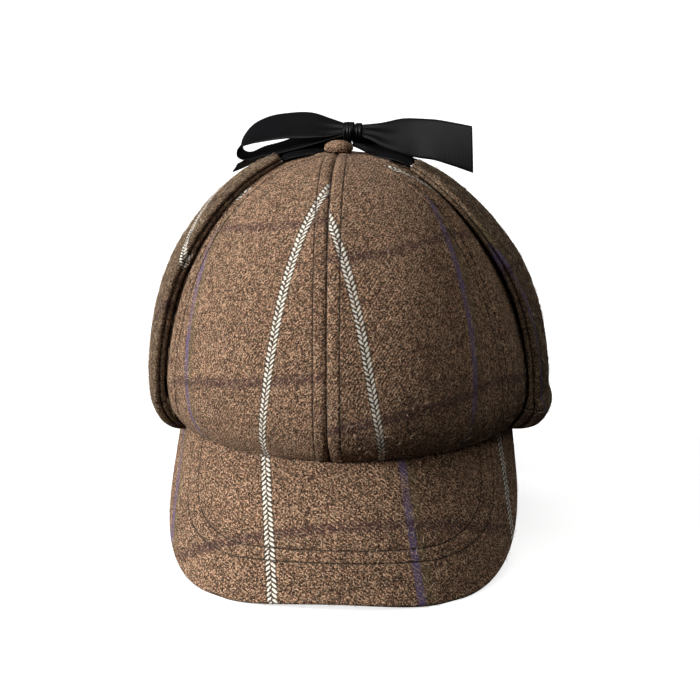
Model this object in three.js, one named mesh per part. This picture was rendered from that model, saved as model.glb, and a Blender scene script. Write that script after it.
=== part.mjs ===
// Deerstalker hat: a six-panel tweed crown with a peak at the front and at the back,
// two ear flaps folded up along the sides, a covered button and a ribbon tied in a half bow.
// Millimetres and degrees, +Z up. The front peak faces -Y and the hat stands on its two peaks.
// Azimuth 0 is the middle of the front and turns towards +X.
import * as THREE from 'three';

// Crown
const crownWidth = 195; // widest line, side to side
const crownDepth = 214; // widest line, front to back
const crownHeight = 134; // rim to top
const crownRoundness = 2.12; // 2 is an ellipse, more is squarer
const crownLean = -5; // sideways lean of the top
const crownTurn = -2.6; // turn of the panels against the peaks
const crownWall = 2.5;
const rimTuck = 10.5; // how far the rim is drawn in under the widest line
const rimTuckHeight = 9; // height in which most of the tuck opens out
const seamValleyDepth = 0.9;
const seamValleyWidth = 4;
const topHoleRadius = 4; // small round opening that the button covers

// Peaks
const peakLength = 71; // rim to lower edge along the slope
const peakSlope = 60; // below the horizontal
const peakThickness = 4;
const peakHalfAngle = 78; // azimuth of the ends, from the middle of the peak
const peakSpread = 6.5; // how far each end moves outwards over the length
const peakSideEdge = 26; // straight stretch of each end before the corner
const peakArch = 3.6; // rise of the lower edge in the middle of the peak
const peakTurn = -0.7; // turn of the peaks against the flaps

// Ear flaps
const flapThickness = 6; // two plies together
const flapGapLeft = 1.9; // between the crown and the inner ply
const flapGapRight = 2.4;
const flapBulgeLeft = 0.5; // how far the fold swells outwards
const flapBulgeRight = 5;
const flapAzimuthLeft = 270; // middle of each flap
const flapAzimuthRight = 92;
const flapHalfWidth = 42;
const flapTipDropLeft = 5.5; // from the crown's top down to each tip
const flapTipDropRight = 8.5;
const flapFoldHeight = 17; // height of the turned-up fold
const flapRootDepthLeft = 2.4; // thickness at each sewn edge
const flapRootDepthRight = 0.4;
const flapEdgeGroove = 0.8; // depth of the seam between the plies

// Button
const buttonDiameter = 15;
const buttonHeight = 6;
const buttonRim = 2.2; // height of the upright side under the dome

// Ribbon and bow
const ribbonWidth = 25;
const ribbonThickness = 0.8;
const knotLength = 10;
const knotDepth = 13;
const knotHeight = 8.8;
const knotSide = 6.5; // from the crown's top towards +X
const knotBack = 13.5; // behind the crown's top
const knotRise = 9.8; // centre above the crown's top
const loopReach = 58.5;
const loopDrop = 15; // from the knot's centre to the lowest part of the loop
const tailReachRight = 61.8;
const tailDropRight = 8; // how far the free end sinks below the knot's centre
const tailCutRight = 15; // slant of the cut end
const tailReachLeft = 62.5;
const tailStand = 10; // height of the left tail above the crown where it crosses the flap

// Fits
const seamGap = 0.3; // between pieces that are sewn together
const knotGap = 0.8; // from the knot to each ribbon's slanting end
const flapRootGap = 0.5; // between the flap's sewn edge and the crown
const tieStartGap = 2; // from the middle of the flap's tip to its ribbon, past the tip's slant

// Resolution
const panelRows = 16;
const peakRows = 6;
const peakCornerColumns = 8;
const peakMiddleColumns = 8;
const flapFoldRows = 6;
const flapColumns = 12;
const ribbonColumns = 2;
const loopSteps = 44;
const tailSteps = 20;
const tieSteps = 12;
const roundSides = 24;

// Colours read from the photograph
const tweedColour = 0x8c7059;
const tweedShade = 0x6e5644;
const ribbonColour = 0x15161a;

const crownX = crownWidth / 2;
const crownY = crownDepth / 2;
const peakDrop = peakLength * Math.sin(radians(peakSlope));
const rimHeight = peakDrop + seamGap;
const crownTop = rimHeight + crownHeight;

function radians(angle) {
  return THREE.MathUtils.degToRad(angle);
}

// Crown surface at an azimuth in radians and a height above the rim
function crownPoint(azimuth, height) {
  const rise = THREE.MathUtils.clamp(height / crownHeight, 0, 1);
  const round = Math.pow(1 - Math.pow(rise, crownRoundness), 1 / crownRoundness);
  const tuck = 1 - (rimTuck / crownX) * Math.exp(-height / rimTuckHeight);
  return new THREE.Vector3(
    crownX * round * tuck * Math.sin(azimuth) + crownLean * rise * rise,
    -crownY * round * tuck * Math.cos(azimuth),
    rimHeight + height,
  );
}

// Outward unit normal of the crown surface
function crownNormal(azimuth, height) {
  const step = 0.01;
  const low = Math.min(Math.max(height, step), crownHeight - 2 * step);
  const across = crownPoint(azimuth + step, low).sub(crownPoint(azimuth - step, low));
  const up = crownPoint(azimuth, low + step).sub(crownPoint(azimuth, low - step));
  return across.cross(up).normalize();
}

// Level outward direction at the crown's rim or at any height
function levelNormal(azimuth, height) {
  const normal = crownNormal(azimuth, height);
  return new THREE.Vector3(normal.x, normal.y, 0).normalize();
}

// Height of the crown surface above the floor at a place seen from the top
function crownHeightAt(x, y) {
  const share = Math.hypot((x - crownLean) / crownX, y / crownY);
  const rise = Math.pow(Math.max(0, 1 - Math.pow(share, crownRoundness)), 1 / crownRoundness);
  return rimHeight + crownHeight * rise;
}

// Closed solid between two grids of points, with an optional grid whose border runs
// between their borders
function solidBetween(outer, inner, middle) {
  const rows = outer.length;
  const columns = outer[0].length;
  const layers = middle ? [outer, middle, inner] : [outer, inner];
  const positions = [];
  for (const layer of layers) {
    for (const row of layer) {
      for (const point of row) {
        positions.push(point.x, point.y, point.z);
      }
    }
  }
  const at = (layer, row, column) => (layer * rows + row) * columns + column;
  const faces = [];
  const quad = (a, b, c, d) => faces.push(a, b, c, a, c, d);
  const last = layers.length - 1;
  for (let row = 0; row + 1 < rows; row += 1) {
    for (let column = 0; column + 1 < columns; column += 1) {
      const nextRow = row + 1;
      const beside = column + 1;
      quad(at(0, row, column), at(0, row, beside), at(0, nextRow, beside), at(0, nextRow, column));
      const inner = [at(last, row, column), at(last, nextRow, column)];
      quad(...inner, at(last, nextRow, beside), at(last, row, beside));
    }
  }
  for (let layer = 0; layer < last; layer += 1) {
    const next = layer + 1;
    for (let column = 0; column + 1 < columns; column += 1) {
      const end = rows - 1;
      const beside = column + 1;
      quad(at(layer, 0, column), at(next, 0, column), at(next, 0, beside), at(layer, 0, beside));
      quad(at(layer, end, column), at(layer, end, beside), at(next, end, beside), at(next, end, column));
    }
    for (let row = 0; row + 1 < rows; row += 1) {
      const end = columns - 1;
      quad(at(layer, row, 0), at(layer, row + 1, 0), at(next, row + 1, 0), at(next, row, 0));
      quad(at(layer, row, end), at(next, row, end), at(next, row + 1, end), at(layer, row + 1, end));
    }
  }
  return facingOut(positions, faces);
}

// Geometry without unused points, turned so that its faces point out
function facingOut(positions, faces) {
  const corner = (index) => new THREE.Vector3().fromArray(positions, 3 * index);
  let volume = 0;
  for (let face = 0; face < faces.length; face += 3) {
    const [a, b, c] = [corner(faces[face]), corner(faces[face + 1]), corner(faces[face + 2])];
    volume += a.dot(b.cross(c));
  }
  const used = new Map();
  const kept = [];
  const index = faces.map((vertex) => {
    if (!used.has(vertex)) {
      used.set(vertex, used.size);
      kept.push(...corner(vertex).toArray());
    }
    return used.get(vertex);
  });
  if (volume < 0) {
    index.reverse();
  }
  const geometry = new THREE.BufferGeometry();
  geometry.setAttribute('position', new THREE.Float32BufferAttribute(kept, 3));
  geometry.setIndex(index);
  geometry.computeVertexNormals();
  return geometry;
}

function material(colour, roughness) {
  return new THREE.MeshStandardMaterial({ color: colour, roughness, metalness: 0 });
}

function piece(name, geometry, colour, roughness) {
  const mesh = new THREE.Mesh(geometry, material(colour, roughness));
  mesh.name = name;
  return mesh;
}

// Share across a crown panel of each column, closer together beside the seams
const panelColumns = [0, 0.025, 0.07, 0.15, 0.32, 0.5, 0.68, 0.85, 0.93, 0.975, 1];

// One sixth of the crown, between two seams
function crownPanel(name, fromAngle, toAngle) {
  const outer = [];
  const inner = [];
  const topShare = topHoleRadius / crownX;
  const topHeight = crownHeight * Math.pow(1 - Math.pow(topShare, crownRoundness), 1 / crownRoundness);
  const topLift = Math.asin(Math.pow(topHeight / crownHeight, crownRoundness / 2));
  const rowSpread = 1.3; // brings the rows closer together towards the rim
  for (let row = 0; row <= panelRows; row += 1) {
    const lift = topLift * Math.pow(row / panelRows, rowSpread);
    const height = crownHeight * Math.pow(Math.sin(lift), 2 / crownRoundness);
    const axis = new THREE.Vector3(crownLean * Math.pow(height / crownHeight, 2), 0, 0);
    const reach = (angle) => {
      const point = crownPoint(radians(angle), height).sub(axis);
      return Math.hypot(point.x, point.y);
    };
    const from = radians(fromAngle) + seamGap / 2 / reach(fromAngle);
    const to = radians(toAngle) - seamGap / 2 / reach(toAngle);
    const arc = (to - from) * reach((fromAngle + toAngle) / 2);
    const outerRow = [];
    const innerRow = [];
    for (const share of panelColumns) {
      const azimuth = from + (to - from) * share;
      const surface = crownPoint(azimuth, height);
      const normal = crownNormal(azimuth, height);
      const fromSeam = Math.min(share, 1 - share) * arc;
      const valley = seamValleyDepth * Math.exp(-Math.pow(fromSeam / seamValleyWidth, 2));
      const inwards = row === 0 ? levelNormal(azimuth, height) : normal;
      const slant = inwards.dot(normal);
      outerRow.push(surface.clone().addScaledVector(inwards, -valley / slant));
      innerRow.push(surface.clone().addScaledVector(inwards, -crownWall / slant));
    }
    outer.push(outerRow);
    inner.push(innerRow);
  }
  return piece(name, solidBetween(outer, inner), tweedColour, 0.95);
}

// Across the peak: share of its half angle, and share of its length at that place.
// The lower edge is arched in the middle, level where it stands, and round at the corners.
function peakOutline() {
  const arched = 0.42; // share of the half angle where the arch ends
  const straight = 0.52; // and where the level edge on the floor ends
  const roundness = 1.9;
  const side = peakSideEdge / peakLength;
  const half = [];
  for (let column = 0; column <= peakMiddleColumns / 2; column += 1) {
    const share = (2 * column) / peakMiddleColumns;
    const arch = (peakArch / peakDrop) * (1 - share * share) * (1 - share * share);
    half.push({ across: share * arched, length: 1 - arch });
  }
  for (let column = 0; column <= peakCornerColumns; column += 1) {
    const turn = (Math.PI / 2) * (column / peakCornerColumns);
    const across = straight + (1 - straight) * Math.pow(Math.sin(turn), 2 / roundness);
    const length = side + (1 - side) * Math.pow(Math.max(0, Math.cos(turn)), 2 / roundness);
    half.push({ across, length });
  }
  const other = half.slice(1).reverse().map(({ across, length }) => ({ across: -across, length }));
  return [...other, ...half];
}

// Outer surface of a peak below the rim, at an azimuth and a distance down the slope
function peakPoint(middleAngle, azimuth, along) {
  const forward = radians(middleAngle);
  const spread = (peakSpread / peakLength) * Math.sin(azimuth - forward);
  const level = Math.cos(radians(peakSlope));
  const point = crownPoint(azimuth, 0);
  point.x += along * (level * Math.sin(forward) + spread * Math.cos(forward));
  point.y += along * (-level * Math.cos(forward) + spread * Math.sin(forward));
  point.z = rimHeight - seamGap - along * Math.sin(radians(peakSlope));
  return point;
}

// A peak: a stiff sloping sheet with level cut edges under the rim and at the floor
function peak(name, middleAngle) {
  const outline = peakOutline();
  const outer = [];
  const inner = [];
  const step = 0.01;
  for (let row = 0; row <= peakRows; row += 1) {
    const outerRow = [];
    const innerRow = [];
    for (const { across, length } of outline) {
      const azimuth = radians(middleAngle + across * peakHalfAngle);
      const along = (peakLength * length * row) / peakRows;
      const surface = peakPoint(middleAngle, azimuth, along);
      const before = peakPoint(middleAngle, azimuth - step, along);
      const around = peakPoint(middleAngle, azimuth + step, along).sub(before);
      const down = peakPoint(middleAngle, azimuth, along + step).sub(surface);
      const normal = down.cross(around).normalize();
      const outwards = new THREE.Vector3(around.y, -around.x, 0).normalize();
      const slant = outwards.dot(normal);
      outerRow.push(surface);
      innerRow.push(surface.clone().addScaledVector(outwards, -peakThickness / slant));
    }
    outer.push(outerRow);
    inner.push(innerRow);
  }
  return piece(name, solidBetween(outer, inner), tweedColour, 0.95);
}

// Ear flap above its fold: height as a share of the flap's reach, half width, gap and
// thickness as shares of their named sizes
const flapSections = [
  { height: 0.2, width: 1.0, gap: 1.0, thickness: 1.0 },
  { height: 0.3, width: 0.99, gap: 1.1, thickness: 1.0 },
  { height: 0.41, width: 0.97, gap: 1.35, thickness: 1.0 },
  { height: 0.52, width: 0.93, gap: 1.5, thickness: 1.0 },
  { height: 0.63, width: 0.88, gap: 1.35, thickness: 1.0 },
  { height: 0.73, width: 0.81, gap: 1.0, thickness: 0.98 },
  { height: 0.81, width: 0.73, gap: 0.75, thickness: 0.94 },
  { height: 0.88, width: 0.63, gap: 0.6, thickness: 0.9 },
  { height: 0.93, width: 0.53, gap: 0.5, thickness: 0.86 },
  { height: 0.97, width: 0.42, gap: 0.45, thickness: 0.8 },
  { height: 1.0, width: 0.3, gap: 0.4, thickness: 0.74 },
];

// Each flap's own sizes
const leftFlap = {
  azimuth: flapAzimuthLeft,
  reach: crownHeight - flapTipDropLeft,
  gap: flapGapLeft,
  bulge: flapBulgeLeft,
  rootDepth: flapRootDepthLeft,
};
const rightFlap = {
  azimuth: flapAzimuthRight,
  reach: crownHeight - flapTipDropRight,
  gap: flapGapRight,
  bulge: flapBulgeRight,
  rootDepth: flapRootDepthRight,
};

// Inner and outer surface of a flap on the side at an angle, at a share across its width
function flapSurfaces(flap, across, section) {
  const height = section.height * flap.reach;
  const rise = height / crownHeight;
  const round = Math.pow(1 - Math.pow(rise, crownRoundness), 1 / crownRoundness);
  const turn = (across * section.width * flapHalfWidth) / (crownY * round);
  const azimuth = radians(flap.azimuth) + turn;
  const surface = crownPoint(azimuth, height);
  const normal = crownNormal(azimuth, height);
  const gap = section.gap * flap.gap;
  return {
    azimuth,
    inner: surface.clone().addScaledVector(normal, gap),
    outer: surface.clone().addScaledVector(normal, gap + section.thickness * flapThickness),
  };
}

// Place in the fold between the sewn edge and the first section, from 0 to 1
function foldSurfaces(flap, azimuth, top, share) {
  const turn = (Math.PI / 2) * share;
  const lift = 1 - Math.cos(turn);
  const height = flapFoldHeight * lift;
  const gap = THREE.MathUtils.lerp(flapRootGap, flap.gap, share);
  const inner = crownPoint(azimuth, height).addScaledVector(crownNormal(azimuth, height), gap);
  const outwards = levelNormal(azimuth, 0);
  const root = crownPoint(azimuth, 0).addScaledVector(outwards, 2 * flapRootGap);
  root.z -= flap.rootDepth;
  const outer = root.clone();
  outer.x = THREE.MathUtils.lerp(root.x, top.x, Math.sin(turn));
  outer.y = THREE.MathUtils.lerp(root.y, top.y, Math.sin(turn));
  outer.z = THREE.MathUtils.lerp(root.z, top.z, lift);
  outer.addScaledVector(outwards, flap.bulge * Math.sin(2 * turn));
  return { inner, outer };
}

// An ear flap: sewn to the rim, turned up in a soft fold and narrowing to a round tip
function earFlap(name, flap) {
  const outer = [];
  const inner = [];
  const columns = [...Array(flapColumns + 1).keys()];
  const shares = columns.map((column) => (2 * column) / flapColumns - 1);
  const foldTop = { ...flapSections[0], height: flapFoldHeight / flap.reach };
  for (let row = 0; row < flapFoldRows; row += 1) {
    const places = shares.map((across) => {
      const top = flapSurfaces(flap, across, foldTop);
      return foldSurfaces(flap, top.azimuth, top.outer, row / flapFoldRows);
    });
    outer.push(places.map((place) => place.outer));
    inner.push(places.map((place) => place.inner));
  }
  for (const section of [foldTop, ...flapSections]) {
    const places = shares.map((across) => flapSurfaces(flap, across, section));
    outer.push(places.map((place) => place.outer));
    inner.push(places.map((place) => place.inner));
  }
  return piece(name, solidBetween(outer, inner, groovedBorder(outer, inner)), tweedShade, 0.95);
}

// Grid half way between two grids whose border is drawn in by the depth of the edge seam
function groovedBorder(outer, inner) {
  const lastRow = outer.length - 1;
  const lastColumn = outer[0].length - 1;
  const middle = outer.map((row, r) => row.map((point, c) => point.clone().lerp(inner[r][c], 0.5)));
  return middle.map((row, r) => row.map((point, c) => {
    const inRow = Math.min(Math.max(r, 1), lastRow - 1);
    const inColumn = Math.min(Math.max(c, 1), lastColumn - 1);
    const towards = middle[inRow][inColumn].clone().sub(point);
    return point.clone().addScaledVector(towards.normalize(), flapEdgeGroove);
  }));
}

// The cloth-covered button: an upright side under a flat dome
function button() {
  const radius = buttonDiameter / 2;
  const dome = buttonHeight - buttonRim;
  const steps = 7;
  const profile = [new THREE.Vector2(0, 0), new THREE.Vector2(0.94 * radius, 0)];
  for (let step = 0; step <= steps; step += 1) {
    const turn = (Math.PI / 2) * (step / steps);
    const out = step === steps ? 0 : radius * Math.cos(turn);
    profile.push(new THREE.Vector2(out, buttonRim + dome * Math.sin(turn)));
  }
  const geometry = new THREE.LatheGeometry(profile, roundSides);
  geometry.rotateX(Math.PI / 2);
  const seat = crownHeightAt(crownLean, 0) + seamGap;
  const mesh = piece('top_button', geometry, tweedShade, 0.95);
  mesh.position.set(crownLean, 0, seat);
  return mesh;
}

// Centre of the knot
const knot = new THREE.Vector3(crownLean + knotSide, knotBack, crownTop + knotRise);

// The knot: a short barrel of ribbon with a dip between its two turns
function bowKnot() {
  // along the knot as a share of its half length, radius as a share of half its height
  const turns = [
    { along: -1, radius: 0.72 },
    { along: -0.9, radius: 0.9 },
    { along: -0.5, radius: 1 },
    { along: -0.15, radius: 0.95 },
    { along: 0, radius: 0.84 },
    { along: 0.15, radius: 0.96 },
    { along: 0.55, radius: 1 },
    { along: 0.9, radius: 0.88 },
    { along: 1, radius: 0.68 },
  ];
  const profile = turns.map(({ along, radius }) => new THREE.Vector2(
    (radius * knotHeight) / 2,
    (along * knotLength) / 2,
  ));
  profile.unshift(new THREE.Vector2(0, -knotLength / 2));
  profile.push(new THREE.Vector2(0, knotLength / 2));
  const geometry = new THREE.LatheGeometry(profile, roundSides);
  geometry.rotateZ(-Math.PI / 2);
  geometry.scale(1, knotDepth / knotHeight, 1);
  const mesh = piece('bow_knot', geometry, ribbonColour, 0.5);
  mesh.position.copy(knot);
  return mesh;
}

// A ribbon along stations: each has its place, its lean from level in degrees, with the
// back edge up, and its width as a share of the full width. Its far end is cut at a slant.
function ribbon(name, stations, steps, cutAngle = 0) {
  const path = new THREE.CatmullRomCurve3(stations.map((station) => station.place));
  const shape = new THREE.CatmullRomCurve3(
    stations.map((station) => new THREE.Vector3(station.lean, station.width, 0)),
    false,
    'catmullrom',
    0.5,
  );
  const outer = [];
  const inner = [];
  for (let step = 0; step <= steps; step += 1) {
    const share = step / steps;
    const place = path.getPoint(share);
    const along = path.getTangent(share);
    const { x: lean, y: width } = shape.getPoint(share);
    const side = new THREE.Vector3(0, Math.cos(radians(lean)), Math.sin(radians(lean)));
    side.addScaledVector(along, -side.dot(along)).normalize();
    const facing = along.clone().cross(side).normalize();
    const slant = Math.tan(radians(cutAngle)) * share * share;
    const outerRow = [];
    const innerRow = [];
    for (let column = 0; column <= ribbonColumns; column += 1) {
      const across = (column / ribbonColumns - 0.5) * width * ribbonWidth;
      const middle = place.clone().addScaledVector(side, across).addScaledVector(along, -slant * across);
      outerRow.push(middle.clone().addScaledVector(facing, ribbonThickness / 2));
      innerRow.push(middle.clone().addScaledVector(facing, -ribbonThickness / 2));
    }
    outer.push(outerRow);
    inner.push(innerRow);
  }
  return piece(name, solidBetween(outer, inner), ribbonColour, 0.5);
}

// Loop to the left of the knot: reach and rise as shares of the loop's reach and drop,
// measured from the knot's centre
const loopStations = [
  { reach: 0.0, rise: 0.08, lean: 24, width: 0.4 },
  { reach: 0.13, rise: 0.1, lean: 26, width: 0.75 },
  { reach: 0.32, rise: 0.17, lean: 27, width: 1 },
  { reach: 0.53, rise: 0.15, lean: 27, width: 1 },
  { reach: 0.72, rise: 0.04, lean: 26, width: 1 },
  { reach: 0.88, rise: -0.18, lean: 20, width: 1 },
  { reach: 0.99, rise: -0.52, lean: 8, width: 1 },
  { reach: 0.99, rise: -0.78, lean: 4, width: 1 },
  { reach: 0.92, rise: -0.87, lean: 4, width: 1 },
  { reach: 0.78, rise: -0.71, lean: 5, width: 1 },
  { reach: 0.6, rise: -0.57, lean: 5, width: 1 },
  { reach: 0.42, rise: -0.43, lean: 7, width: 1 },
  { reach: 0.2, rise: -0.26, lean: 10, width: 0.78 },
  { reach: 0.0, rise: -0.12, lean: 14, width: 0.4 },
];

// Free end to the right of the knot, with the same columns
const rightTailStations = [
  { reach: 0.0, rise: 0.0, lean: 26, width: 0.4 },
  { reach: 0.09, rise: -0.06, lean: 30, width: 0.62 },
  { reach: 0.22, rise: -0.2, lean: 35, width: 0.86 },
  { reach: 0.36, rise: -0.28, lean: 41, width: 1 },
  { reach: 0.5, rise: -0.42, lean: 48, width: 1 },
  { reach: 0.66, rise: -0.54, lean: 51, width: 1 },
  { reach: 0.84, rise: -0.84, lean: 56, width: 1 },
  { reach: 1.0, rise: -1.15, lean: 62, width: 1 },
];

// Free end to the left, lying over the flap: stand is a share of its height above the crown
// and back a share of the ribbon's width
const leftTailStations = [
  { reach: 0.0, stand: 0.72, back: 0.06, lean: 6, width: 0.4 },
  { reach: 0.14, stand: 0.64, back: 0.22, lean: 2, width: 0.7 },
  { reach: 0.36, stand: 0.64, back: 0.5, lean: -5, width: 1 },
  { reach: 0.57, stand: 0.74, back: 0.66, lean: -12, width: 1 },
  { reach: 0.74, stand: 0.92, back: 0.62, lean: -13, width: 1 },
  { reach: 0.88, stand: 1.2, back: 0.52, lean: -12, width: 1 },
  { reach: 1.0, stand: 1.42, back: 0.42, lean: -10, width: 1 },
];

function bowLoop() {
  const start = knotLength / 2 + knotGap;
  const stations = loopStations.map(({ reach, rise, lean, width }) => ({
    place: new THREE.Vector3(
      knot.x - THREE.MathUtils.lerp(start, loopReach, reach),
      knot.y,
      knot.z + rise * loopDrop,
    ),
    lean,
    width,
  }));
  return ribbon('bow_loop', stations, loopSteps);
}

function rightTail() {
  const start = knotLength / 2 + knotGap;
  const stations = rightTailStations.map(({ reach, rise, lean, width }) => ({
    place: new THREE.Vector3(
      knot.x + THREE.MathUtils.lerp(start, tailReachRight, reach),
      knot.y,
      knot.z + rise * tailDropRight,
    ),
    lean,
    width,
  }));
  return ribbon('bow_tail_right', stations, tailSteps, tailCutRight);
}

function leftTail() {
  const start = knotLength / 2 + knotGap;
  const stations = leftTailStations.map(({ reach, stand, back, lean, width }) => {
    const x = knot.x - THREE.MathUtils.lerp(start, tailReachLeft, reach);
    const y = knot.y + back * ribbonWidth;
    return { place: new THREE.Vector3(x, y, crownHeightAt(x, y) + stand * tailStand), lean, width };
  });
  return ribbon('bow_tail_left', stations, tailSteps);
}

// A tie from the middle of a flap's tip to the underside of the knot
function flapTie(name, flap, direction) {
  const tip = flapSurfaces(flap, 0, flapSections[flapSections.length - 1]);
  const start = tip.inner.clone().lerp(tip.outer, 0.5);
  start.x -= direction * tieStartGap;
  const end = knot.clone();
  end.x += direction * knotGap;
  end.z -= knotHeight / 2 + seamGap + ribbonThickness;
  const startStand = start.z - crownHeightAt(start.x, start.y);
  const endStand = end.z - crownHeightAt(end.x, end.y);
  // share of the way to the knot, share of the way back, and rise as a share of the knot's
  // rise, over a stand above the crown that changes evenly
  const route = [
    { toKnot: 0.0, back: 0.0, rise: 0.0, lean: 2, width: 0.9 },
    { toKnot: 0.1, back: 0.02, rise: 0.0, lean: 1, width: 0.92 },
    { toKnot: 0.34, back: 0.36, rise: -0.16, lean: -1, width: 0.84 },
    { toKnot: 0.6, back: 0.85, rise: -0.26, lean: -1, width: 0.54 },
    { toKnot: 0.8, back: 1.0, rise: -0.2, lean: 2, width: 0.44 },
    { toKnot: 1.0, back: 1.0, rise: 0.0, lean: 4, width: 0.4 },
  ];
  const stations = route.map(({ toKnot, back, rise, lean, width }) => {
    const x = THREE.MathUtils.lerp(start.x, end.x, toKnot);
    const y = THREE.MathUtils.lerp(start.y, end.y, back);
    const stand = THREE.MathUtils.lerp(startStand, endStand, toKnot) + rise * knotRise;
    return { place: new THREE.Vector3(x, y, crownHeightAt(x, y) + stand), lean, width };
  });
  return ribbon(name, stations, tieSteps);
}

const hat = new THREE.Group();
hat.name = 'deerstalker_hat';
const panelNames = [
  'crown_front_right',
  'crown_side_right',
  'crown_back_right',
  'crown_back_left',
  'crown_side_left',
  'crown_front_left',
];
const panelAngle = 360 / panelNames.length;
for (const [index, name] of panelNames.entries()) {
  const from = crownTurn + panelAngle * index;
  hat.add(crownPanel(name, from, from + panelAngle));
}
hat.add(peak('peak_front', peakTurn));
hat.add(peak('peak_back', 180 + peakTurn));
hat.add(earFlap('ear_flap_right', rightFlap));
hat.add(earFlap('ear_flap_left', leftFlap));
hat.add(button());
hat.add(bowKnot());
hat.add(bowLoop());
hat.add(rightTail());
hat.add(leftTail());
hat.add(flapTie('ribbon_tie_right', rightFlap, 1));
hat.add(flapTie('ribbon_tie_left', leftFlap, -1));

export default hat;
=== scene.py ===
"""Looks of a deerstalker hat: tweed crown, two peaks, ear flaps folded up, button and ribbon bow.

The shapes are worked out in millimetres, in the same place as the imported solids, and become
metres when a mesh is made. The front peak faces -Y and azimuth 0 is the middle of the front.
"""

import logging
import math
from dataclasses import dataclass, field
from enum import Enum

import bpy
import numpy as np
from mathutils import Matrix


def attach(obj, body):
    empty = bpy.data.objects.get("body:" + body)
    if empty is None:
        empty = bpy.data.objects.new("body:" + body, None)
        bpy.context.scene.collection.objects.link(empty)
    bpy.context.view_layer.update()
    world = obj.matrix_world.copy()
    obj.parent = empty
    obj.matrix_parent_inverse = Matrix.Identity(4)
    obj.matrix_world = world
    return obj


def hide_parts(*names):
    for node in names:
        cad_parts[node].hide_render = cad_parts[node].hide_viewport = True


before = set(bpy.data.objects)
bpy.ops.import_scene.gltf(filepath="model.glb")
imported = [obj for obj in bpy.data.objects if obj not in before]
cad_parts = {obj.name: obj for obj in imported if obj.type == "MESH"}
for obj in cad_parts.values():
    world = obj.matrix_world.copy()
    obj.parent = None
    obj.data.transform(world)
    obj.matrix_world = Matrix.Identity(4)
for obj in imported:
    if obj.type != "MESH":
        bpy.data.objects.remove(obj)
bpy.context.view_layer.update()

LOG = logging.getLogger("deerstalker")
METRE = 0.001
FACTS = ("seam", "row", "row_two")
CLOTH_MAP = "cloth"
CLOTH_UNIT = 100.0
SEAM_GAP = 0.3
PEAK_LENGTH = 71.0
PEAK_SLOPE = 60.0


class Slot(Enum):
    """Material slots of the record."""

    TWEED = "tweed"
    FLAP = "flap_tweed"
    RIBBON = "ribbon"


# Shader graph


class Signal:
    """A number that changes over a surface, held by one output socket."""

    def __init__(self, tree: "FinishTree", socket: bpy.types.NodeSocket) -> None:
        """Keeps the socket and the tree that it belongs to."""
        self.tree = tree
        self.socket = socket

    def math(self, operation: str, *others: "Signal | float") -> "Signal":
        """Adds a Math node on this value.

        Args:
            operation: Blender's name of the operation.
            others: The second and third value.

        Returns:
            The node's result.
        """
        values = {index: value for index, value in enumerate((self, *others))}
        return self.tree.node("ShaderNodeMath", {"operation": operation}, values)

    def __add__(self, other: "Signal | float") -> "Signal":
        """Sum."""
        return self.math("ADD", other)

    def __radd__(self, other: float) -> "Signal":
        """Sum with a number in front."""
        return self.math("ADD", other)

    def __sub__(self, other: "Signal | float") -> "Signal":
        """Difference."""
        return self.math("SUBTRACT", other)

    def __rsub__(self, other: float) -> "Signal":
        """Difference from a number."""
        return (self * -1.0) + other

    def __mul__(self, other: "Signal | float") -> "Signal":
        """Product."""
        return self.math("MULTIPLY", other)

    def __rmul__(self, other: float) -> "Signal":
        """Product with a number in front."""
        return self.math("MULTIPLY", other)

    def __truediv__(self, other: "Signal | float") -> "Signal":
        """Quotient."""
        return self.math("DIVIDE", other)

    def floor(self) -> "Signal":
        """Whole part."""
        return self.math("FLOOR")

    def part(self) -> "Signal":
        """Part after the whole number."""
        return self.math("FRACT")

    def size(self) -> "Signal":
        """Value without its sign."""
        return self.math("ABSOLUTE")

    def wave(self) -> "Signal":
        """Sine of the value counted in turns."""
        return (self * math.tau).math("SINE")

    def below(self, limit: "Signal | float") -> "Signal":
        """1 where the value is under the limit, else 0."""
        return self.math("LESS_THAN", limit)

    def power(self, exponent: float) -> "Signal":
        """Value raised to a power."""
        return self.math("POWER", exponent)

    def ease(self, low: float, high: float, bottom: float = 0.0, top: float = 1.0) -> "Signal":
        """Smooth step between two limits.

        Args:
            low: Value where the step starts.
            high: Value where it ends.
            bottom: Result at and before the start.
            top: Result at and after the end.

        Returns:
            The eased value.
        """
        return self.tree.node(
            "ShaderNodeMapRange",
            {"interpolation_type": "SMOOTHSTEP"},
            {"Value": self, "From Min": low, "From Max": high, "To Min": bottom, "To Max": top},
        )


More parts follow.
